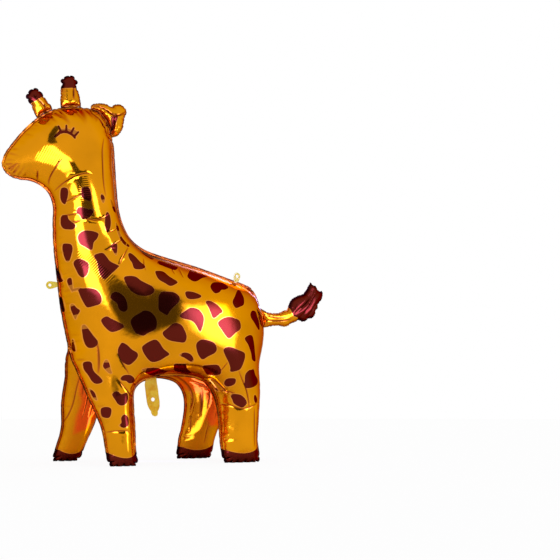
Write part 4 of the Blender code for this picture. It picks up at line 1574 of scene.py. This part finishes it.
def print_group():
    """Ink over gold, a pale line round it, painted shade in folds, seam and rim, and painted reflection."""
    tree, given, out = group(
        "spot print",
        [
            ("Film", "NodeSocketColor", (0.8, 0.34, 0.02, 1)),
            ("Ink", "NodeSocketColor", (0.16, 0.02, 0.03, 1)),
            ("Line", "NodeSocketColor", (0.6, 0.2, 0.02, 1)),
            ("Line Width", "NodeSocketFloat", 0.001),
            ("Fold Shade", "NodeSocketColor", (0.4, 0.08, 0.005, 1)),
            ("Fold Shade Core", "NodeSocketColor", (0.1, 0.01, 0.005, 1)),
            ("Bunch Reflection", "NodeSocketColor", (1.0, 0.2, 0.03, 1)),
            ("Rim Shade", "NodeSocketColor", (0.2, 0.05, 0.01, 1)),
            ("Rim Width", "NodeSocketFloat", 0.0026),
        ],
        [("Color", "NodeSocketColor"), ("Ink Mask", "NodeSocketFloat")],
    )
    deep = mark(tree, "print")
    patchy = cloud(tree, 9.0, 3.0)
    uneven = remap(tree, patchy, 0.3, 0.7, 0.88, 1.12)
    tint = tree.nodes.new("ShaderNodeVectorMath")
    tint.operation = "SCALE"
    tree.links.new(given.outputs["Film"], tint.inputs[0])
    tree.links.new(uneven, tint.inputs["Scale"])
    ink = remap(tree, deep, -INK_EDGE, INK_EDGE)
    line_depth = number(tree, "ADD", deep, given.outputs["Line Width"])
    edge = remap(tree, line_depth, -LINE_EDGE, LINE_EDGE, 0.0, 0.75)
    lined = blend(tree, edge, tint.outputs["Vector"], given.outputs["Line"])
    fold, seam = mark(tree, "fold"), mark(tree, "seam_depth")
    # Painted shade: deep red-orange in folds and in a broken band just inside the seam, darker in a deep
    # fold's core.
    broken = remap(tree, cloud(tree, 55.0, 2.0), 0.34, 0.54, 0.40, 1.0)
    sealed = number(tree, "MULTIPLY", remap(tree, seam, 0.0045, 0.0085, 0.75, 0.0), broken)
    fold_shade_share = number(tree, "MAXIMUM", remap(tree, fold, 0.10, 0.45, 0.0, 0.85), sealed)
    # Painted reflection: deep orange where the inner films crowd together.
    bunch = number(tree, "MULTIPLY", mark(tree, "bunch"), 0.9)
    bunch_reflected = blend(tree, bunch, lined, given.outputs["Bunch Reflection"])
    fold_shaded = blend(tree, fold_shade_share, bunch_reflected, given.outputs["Fold Shade"])
    core_shaded = blend(tree, remap(tree, fold, 0.50, 0.92, 0.0, 0.9), fold_shaded, given.outputs["Fold Shade Core"])
    # Painted shade along the rim, wider and nearly black where the rim is inked.
    widened = number(tree, "MULTIPLY", given.outputs["Rim Width"], remap(tree, ink, 0.0, 1.0, 1.0, 2.2))
    rim = remap(tree, number(tree, "DIVIDE", seam, widened), 0.6, 1.4, 1.0, 0.0)
    rim_shade_share = number(tree, "MULTIPLY", rim, remap(tree, ink, 0.0, 1.0, broken, 1.0))
    printed = blend(tree, ink, core_shaded, given.outputs["Ink"])
    rim_shade_colour = blend(tree, ink, given.outputs["Rim Shade"], INKED_RIM_SHADE)
    tree.links.new(blend(tree, rim_shade_share, printed, rim_shade_colour), out.inputs["Color"])
    tree.links.new(ink, out.inputs["Ink Mask"])
    return tree


def film_group():
    """The film's own relief, with finer wrinkles near the seam, and its uneven roughness."""
    tree, given, out = group(
        "crinkled film",
        [
            ("Grain Size", "NodeSocketFloat", 60.0),
            ("Wrinkle Size", "NodeSocketFloat", 220.0),
            ("Smoothest", "NodeSocketFloat", 0.07),
            ("Roughest", "NodeSocketFloat", 0.16),
        ],
        [("Height", "NodeSocketFloat"), ("Roughness", "NodeSocketFloat")],
    )
    near_seam = remap(tree, mark(tree, "seam_depth"), 0.004, 0.030, 1.0, 0.0)
    slow = cloud(tree, given.outputs["Grain Size"], 2.0)
    fine = cloud(tree, given.outputs["Wrinkle Size"], 3.0, 0.6)
    share = number(tree, "ADD", number(tree, "MULTIPLY", near_seam, 0.8), 0.12)
    wrinkled = number(tree, "MULTIPLY", fine, share)
    tree.links.new(number(tree, "ADD", slow, wrinkled), out.inputs["Height"])
    tree.links.new(
        remap(tree, cloud(tree, 14.0, 4.0), 0.3, 0.7, given.outputs["Smoothest"], given.outputs["Roughest"]),
        out.inputs["Roughness"],
    )
    return tree


def seal_group():
    """The sealing iron's ribs in the seam, and the patches of fine ripples."""
    tree, given, out = group(
        "sealed edge",
        [("Seam Width", "NodeSocketFloat", 0.005), ("Rib Gap", "NodeSocketFloat", 0.0016)],
        [("Height", "NodeSocketFloat"), ("Seam Mask", "NodeSocketFloat")],
    )
    inside_seam = number(tree, "LESS_THAN", mark(tree, "seam_depth"), given.outputs["Seam Width"])
    share = number(tree, "DIVIDE", mark(tree, "seam_run"), given.outputs["Rib Gap"])
    ribs = number(tree, "SINE", number(tree, "MULTIPLY", share, 2 * math.pi))
    ripples = number(tree, "SINE", number(tree, "MULTIPLY", mark(tree, "ripple_run"), 2 * math.pi))
    rippled_film = number(tree, "MULTIPLY", ripples, number(tree, "MULTIPLY", mark(tree, "ripple"), 1.6))
    pressed_ribs = number(tree, "MULTIPLY", ribs, inside_seam)
    tree.links.new(number(tree, "ADD", pressed_ribs, rippled_film), out.inputs["Height"])
    tree.links.new(inside_seam, out.inputs["Seam Mask"])
    return tree


PRINT, FILM, SEAL = print_group(), film_group(), seal_group()
print("node groups", [g.name for g in (PRINT, FILM, SEAL)])

# %% [markdown]
# The film is plastic with a whisper of metal on it, so it is a mirror, tinted gold by its lacquer. Metallic
# is 1 and the tint is the base colour. The burgundy ink is see-through too, so the spots are as shiny as
# the gold. The small bags are stiffer and more crumpled than the body, which only changes the numbers that
# go into the groups.

# %% Finish the foil
GOLD = (0.775, 0.290, 0.0045, 1)
BURGUNDY = (0.128, 0.0130, 0.0070, 1)
OUTLINE = (0.92, 0.34, 0.050, 1)
# Painted shade and double reflection: deep red-orange in folds, puckers and just inside the seam, and darker
# in the middle of a deep fold.
FOLD_SHADE = (0.50, 0.100, 0.012, 1)
FOLD_SHADE_CORE = (0.10, 0.012, 0.006, 1)
# Painted shade along the rim, dark brown-red.
RIM_SHADE = (0.090, 0.014, 0.006, 1)
# Painted reflection: the deep orange that the inner films throw back at each other where they crowd together.
BUNCH_REFLECTION = (1.0, 0.115, 0.012, 1)
GRAZING_TINT = (0.55, 0.22, 0.05, 1)
OUTLINE_WIDTH = 0.0014
INK_ROUGHNESS = 0.05
SEAM_ROUGHNESS = 0.06
RIB_GAP = 0.0016
RIB_DEPTH = 0.00012


def material(name):
    """A new material, its node tree and its shader."""
    made = bpy.data.materials.new(name)
    made.use_nodes = True
    return made, made.node_tree, made.node_tree.nodes["Principled BSDF"]


def bump(tree, height, distance):
    """A Bump node over a height, this many metres deep."""
    made = tree.nodes.new("ShaderNodeBump")
    made.inputs["Distance"].default_value = distance
    tree.links.new(height, made.inputs["Height"])
    return made


def placed(tree, kind, values):
    """A node group in a material, with this material's own values."""
    made = tree.nodes.new("ShaderNodeGroup")
    made.node_tree = kind
    for label, value in values.items():
        made.inputs[label].default_value = value
    return made


def foil(name, grain, wrinkle, smoothest, roughest, crumple, seam_width):
    """Mirror film: printed colour with painted shade and reflection, metal, and two layers of relief."""
    made, tree, shader = material(name)
    ink = placed(tree, PRINT, {
        "Film": GOLD, "Ink": BURGUNDY, "Line": OUTLINE, "Line Width": OUTLINE_WIDTH, "Fold Shade": FOLD_SHADE,
        "Fold Shade Core": FOLD_SHADE_CORE, "Rim Shade": RIM_SHADE, "Bunch Reflection": BUNCH_REFLECTION,
    })
    film = placed(tree, FILM, {
        "Grain Size": grain, "Wrinkle Size": wrinkle, "Smoothest": smoothest, "Roughest": roughest,
    })
    seal = placed(tree, SEAL, {"Seam Width": seam_width, "Rib Gap": RIB_GAP})
    shader.inputs["Metallic"].default_value = 1.0
    shader.inputs["Specular Tint"].default_value = GRAZING_TINT
    tree.links.new(ink.outputs["Color"], shader.inputs["Base Color"])
    duller = number(
        tree, "ADD",
        number(tree, "MULTIPLY", seal.outputs["Seam Mask"], SEAM_ROUGHNESS),
        number(tree, "MULTIPLY", ink.outputs["Ink Mask"], INK_ROUGHNESS),
    )
    tree.links.new(number(tree, "ADD", film.outputs["Roughness"], duller), shader.inputs["Roughness"])
    crumpled = bump(tree, film.outputs["Height"], crumple)
    ribbed = bump(tree, seal.outputs["Height"], RIB_DEPTH)
    tree.links.new(crumpled.outputs["Normal"], ribbed.inputs["Normal"])
    tree.links.new(ribbed.outputs["Normal"], shader.inputs["Normal"])
    return made


body.data.materials.append(foil("body_foil", 34.0, 160.0, 0.07, 0.14, 0.00035, SEAM_WIDTH))
chamber_foil = foil("small_bag_foil", 60.0, 260.0, 0.10, 0.20, 0.00040, CHAMBER_SEAM_WIDTH)
for piece in chambers:
    piece.data.materials.append(chamber_foil)
print("foil on", 1 + len(chambers), "pieces")

# %% [markdown]
# The tabs are lacquered film without metal: amber at the filling neck, straw-coloured at the two small
# tabs, glossy, and a trace of what is behind shows through. Alpha does that without the bending of light
# that a solid sheet of glass would show.

# %% Finish the tabs
AMBER = (0.84, 0.42, 0.006, 1)
PALE_AMBER = (0.98, 0.68, 0.045, 1)
STRAW = (0.84, 0.64, 0.05, 1)
PALE_STRAW = (0.95, 0.86, 0.14, 1)
CLEARNESS = (0.99, 0.94)
TAB_CRUMPLE = 0.0004


def clear_film(name, dark, pale):
    """See-through film: patches of two tints, hardly see-through where dark and a little more where pale."""
    made, tree, shader = material(name)
    shader.inputs["Metallic"].default_value = 0.0
    shader.inputs["IOR"].default_value = 1.5
    shader.inputs["Specular IOR Level"].default_value = 0.2
    patchy = remap(tree, cloud(tree, 70.0, 3.0), 0.35, 0.65)
    tree.links.new(blend(tree, patchy, dark, pale), shader.inputs["Base Color"])
    tree.links.new(remap(tree, patchy, 0.0, 1.0, *CLEARNESS), shader.inputs["Alpha"])
    film = placed(tree, FILM, {
        "Grain Size": 120.0, "Wrinkle Size": 400.0, "Smoothest": 0.12, "Roughest": 0.25,
    })
    tree.links.new(film.outputs["Roughness"], shader.inputs["Roughness"])
    crumpled = bump(tree, film.outputs["Height"], TAB_CRUMPLE)
    tree.links.new(crumpled.outputs["Normal"], shader.inputs["Normal"])
    return made


filling_film = clear_film("filling_film", AMBER, PALE_AMBER)
hanging_film = clear_film("hanging_film", STRAW, PALE_STRAW)
for piece, film in zip(tabs, (hanging_film, hanging_film, filling_film)):
    piece.data.materials.append(film)
print("clear film on", len(tabs), "tabs")

# %% [markdown]
# A mirror shows what is round it, so the light is a white room with cards standing close to the figure:
# bright ones, which make the yellow bands, and dim ones, which make the brown patches between them. One
# bright patch lies on the floor, for the inner sides of the legs, and two of the cards stand on the far
# side as well. Only reflections see a card, so it hides nothing and casts no shadow. Its edges are soft.
# The camera itself sees plain white, and the floor is a large, nearly white sheet. A world picture would
# also do, but cards are placed where each band should fall.

# %% Draw the studio's cards
ROOM_LEVEL = 0.86
CAMERA_WHITE = 1.0
FLOOR_GLOW = 0.92
BRIGHT = 7.0
SOFT_BRIGHT = 3.5
DIM = 0.09
DARK = 0.08
WHITE = (1, 1, 1, 1)
CARD_COLOUR = (1.0, 1.0, 2.6, 1)
FLOOR_RADIUS = 14.0
PAPER = ((0.93, 0.93, 0.93, 1), (0.95, 0.95, 0.95, 1))
BOTH_SIDES = slice(1, 3)
# Each card: its level, the share of it that is soft, and its corners. The last one lies on the floor.
CARDS = [
    (BRIGHT, 0.25, [
        (-0.5695, -0.5005, 0.40), (-0.7595, -0.2187, 0.40), (-0.7595, -0.2187, 0.77),
        (-0.5695, -0.5005, 0.77),
    ]),
    (DIM, 0.14, [
        (-0.299, -0.528, 0.640), (-0.053, -0.514, 0.660), (0.060, -0.400, 0.715), (0.175, -0.325, 0.725),
        (0.215, -0.372, 0.670), (0.200, -0.479, 0.560), (0.140, -0.575, 0.430), (-0.060, -0.631, 0.345),
        (-0.300, -0.610, 0.330), (-0.500, -0.500, 0.360), (-0.540, -0.465, 0.420), (-0.490, -0.505, 0.540),
    ]),
    (BRIGHT, 0.45, [
        (0.183, -0.454, 0.672), (0.291, -0.370, 0.693), (0.388, -0.253, 0.716), (0.453, -0.204, 0.696),
        (0.506, -0.291, 0.575), (0.536, -0.342, 0.441), (0.496, -0.438, 0.297), (0.367, -0.538, 0.255),
        (0.279, -0.571, 0.272), (0.216, -0.577, 0.400), (0.183, -0.533, 0.554),
    ]),
    (ROOM_LEVEL, 0.10, [
        (-0.410, -0.135, 0.590), (-0.530, -0.040, 0.590), (-0.530, -0.040, 0.720), (-0.410, -0.135, 0.720),
    ]),
    (BRIGHT, 0.18, [
        (-0.420, -0.184, 0.777), (-0.387, -0.202, 0.769), (-0.355, -0.221, 0.724), (-0.312, -0.231, 0.701),
        (-0.287, -0.233, 0.682), (-0.295, -0.230, 0.648), (-0.392, -0.156, 0.560), (-0.412, -0.150, 0.570),
        (-0.429, -0.183, 0.631), (-0.436, -0.189, 0.718),
    ]),
    (DARK, 0.10, [
        (-0.369, -0.084, 0.914), (-0.350, -0.139, 0.891), (-0.369, -0.161, 0.859), (-0.376, -0.185, 0.821),
        (-0.366, -0.204, 0.785), (-0.402, -0.193, 0.778), (-0.419, -0.174, 0.799), (-0.412, -0.142, 0.851),
    ]),
    (DARK, 0.15, [
        (-0.289, -0.213, 0.690), (-0.256, -0.211, 0.642), (-0.236, -0.210, 0.640), (-0.224, -0.208, 0.630),
        (-0.220, -0.208, 0.615), (-0.224, -0.208, 0.600), (-0.345, -0.178, 0.580), (-0.343, -0.182, 0.600),
        (-0.325, -0.198, 0.606), (-0.320, -0.203, 0.630), (-0.322, -0.209, 0.682),
    ]),
    (BRIGHT, 0.30, [
        (-0.199, -0.225, 0.655), (-0.175, -0.218, 0.654), (-0.160, -0.210, 0.638), (-0.130, -0.204, 0.597),
        (-0.194, -0.219, 0.600), (-0.210, -0.224, 0.628),
    ]),
    (SOFT_BRIGHT, 0.30, [
        (-0.125, 0.100, 0.002), (-0.090, 0.016, 0.002), (-0.010, -0.035, 0.002), (0.087, -0.075, 0.002),
        (0.092, -0.020, 0.002), (0.040, 0.030, 0.002), (-0.050, 0.105, 0.002),
    ]),
]
print(len(CARDS), "cards drawn")

# %% [markdown]
# A card is a flat fan of triangles round its middle. The number "inward" is 0 at its corners and 1 in the
# middle, and the material fades the light in along it. The white that the camera sees is mixed in by the
# kind of ray.

# %% Light the studio
def glowing(tree, kind, level, colour=WHITE):
    """A light of one level and colour: an emission, or a world's background."""
    made = tree.nodes.new(kind)
    made.inputs["Strength"].default_value = level
    made.inputs["Color"].default_value = colour
    return made.outputs[0]


def mixed(tree, out, share, first, second):
    """Two shaders mixed by a share, as what a material or the world shows."""
    chosen = tree.nodes.new("ShaderNodeMixShader")
    for socket, value in zip(chosen.inputs, (share, first, second)):
        tree.links.new(value, socket)
    tree.links.new(chosen.outputs["Shader"], out.inputs["Surface"])


def card(k, level, soft, corners):
    """A panel that only reflections see, brightest or dimmest in its middle and fading out at its edge."""
    middle = tuple(np.mean(corners, axis=0))
    last = len(corners)
    mesh = bpy.data.meshes.new(f"card_{k}")
    mesh.from_pydata([*corners, middle], [], [(j, (j + 1) % last, last) for j in range(last)])
    mesh.attributes.new("inward", "FLOAT", "POINT").data.foreach_set("value", [0.0] * last + [1.0])
    made = put(f"card_{k}", mesh)
    made.visible_camera = made.visible_diffuse = made.visible_shadow = made.visible_transmission = False
    panel, tree, _ = material(f"card_{k}")
    tree.nodes.clear()
    out = tree.nodes.new("ShaderNodeOutputMaterial")
    nothing = tree.nodes.new("ShaderNodeBsdfTransparent").outputs["BSDF"]
    light = glowing(tree, "ShaderNodeEmission", level, CARD_COLOUR if level > 1 else WHITE)
    mixed(tree, out, remap(tree, mark(tree, "inward"), 0.0, soft), nothing, light)
    made.data.materials.append(panel)
    return made


def studio():
    """A white world, which the camera sees as plain white."""
    world = bpy.data.worlds.new("studio")
    world.use_nodes = True
    bpy.context.scene.world = world
    tree = world.node_tree
    tree.nodes.clear()
    out = tree.nodes.new("ShaderNodeOutputWorld")
    seen = tree.nodes.new("ShaderNodeLightPath").outputs["Is Camera Ray"]
    mixed(tree, out, seen, *(glowing(tree, "ShaderNodeBackground", s) for s in (ROOM_LEVEL, CAMERA_WHITE)))


def floor():
    """A large round sheet of paper, which the camera sees nearly as white as the room."""
    bm = bmesh.new()
    bmesh.ops.create_circle(bm, cap_ends=True, segments=64, radius=FLOOR_RADIUS)
    mesh = bpy.data.meshes.new("floor")
    bm.to_mesh(mesh)
    bm.free()
    made = put("floor", mesh)
    paper, tree, shader = material("floor_paper")
    shader.inputs["Roughness"].default_value = 0.9
    tree.links.new(blend(tree, cloud(tree, 3.0, 2.0), *PAPER), shader.inputs["Base Color"])
    seen = tree.nodes.new("ShaderNodeLightPath").outputs["Is Camera Ray"]
    share = number(tree, "MULTIPLY", seen, FLOOR_GLOW)
    glow = glowing(tree, "ShaderNodeEmission", CAMERA_WHITE)
    mixed(tree, tree.nodes["Material Output"], share, shader.outputs["BSDF"], glow)
    made.data.materials.append(paper)
    return made


studio()
floor()
facing = [(level, soft, [(x, -y, z) for x, y, z in corners]) for level, soft, corners in CARDS[BOTH_SIDES]]
cards = [card(k, *given) for k, given in enumerate(CARDS + facing)]
bpy.context.scene.view_settings.view_transform = "Standard"
print(len(cards), "cards in a white room")
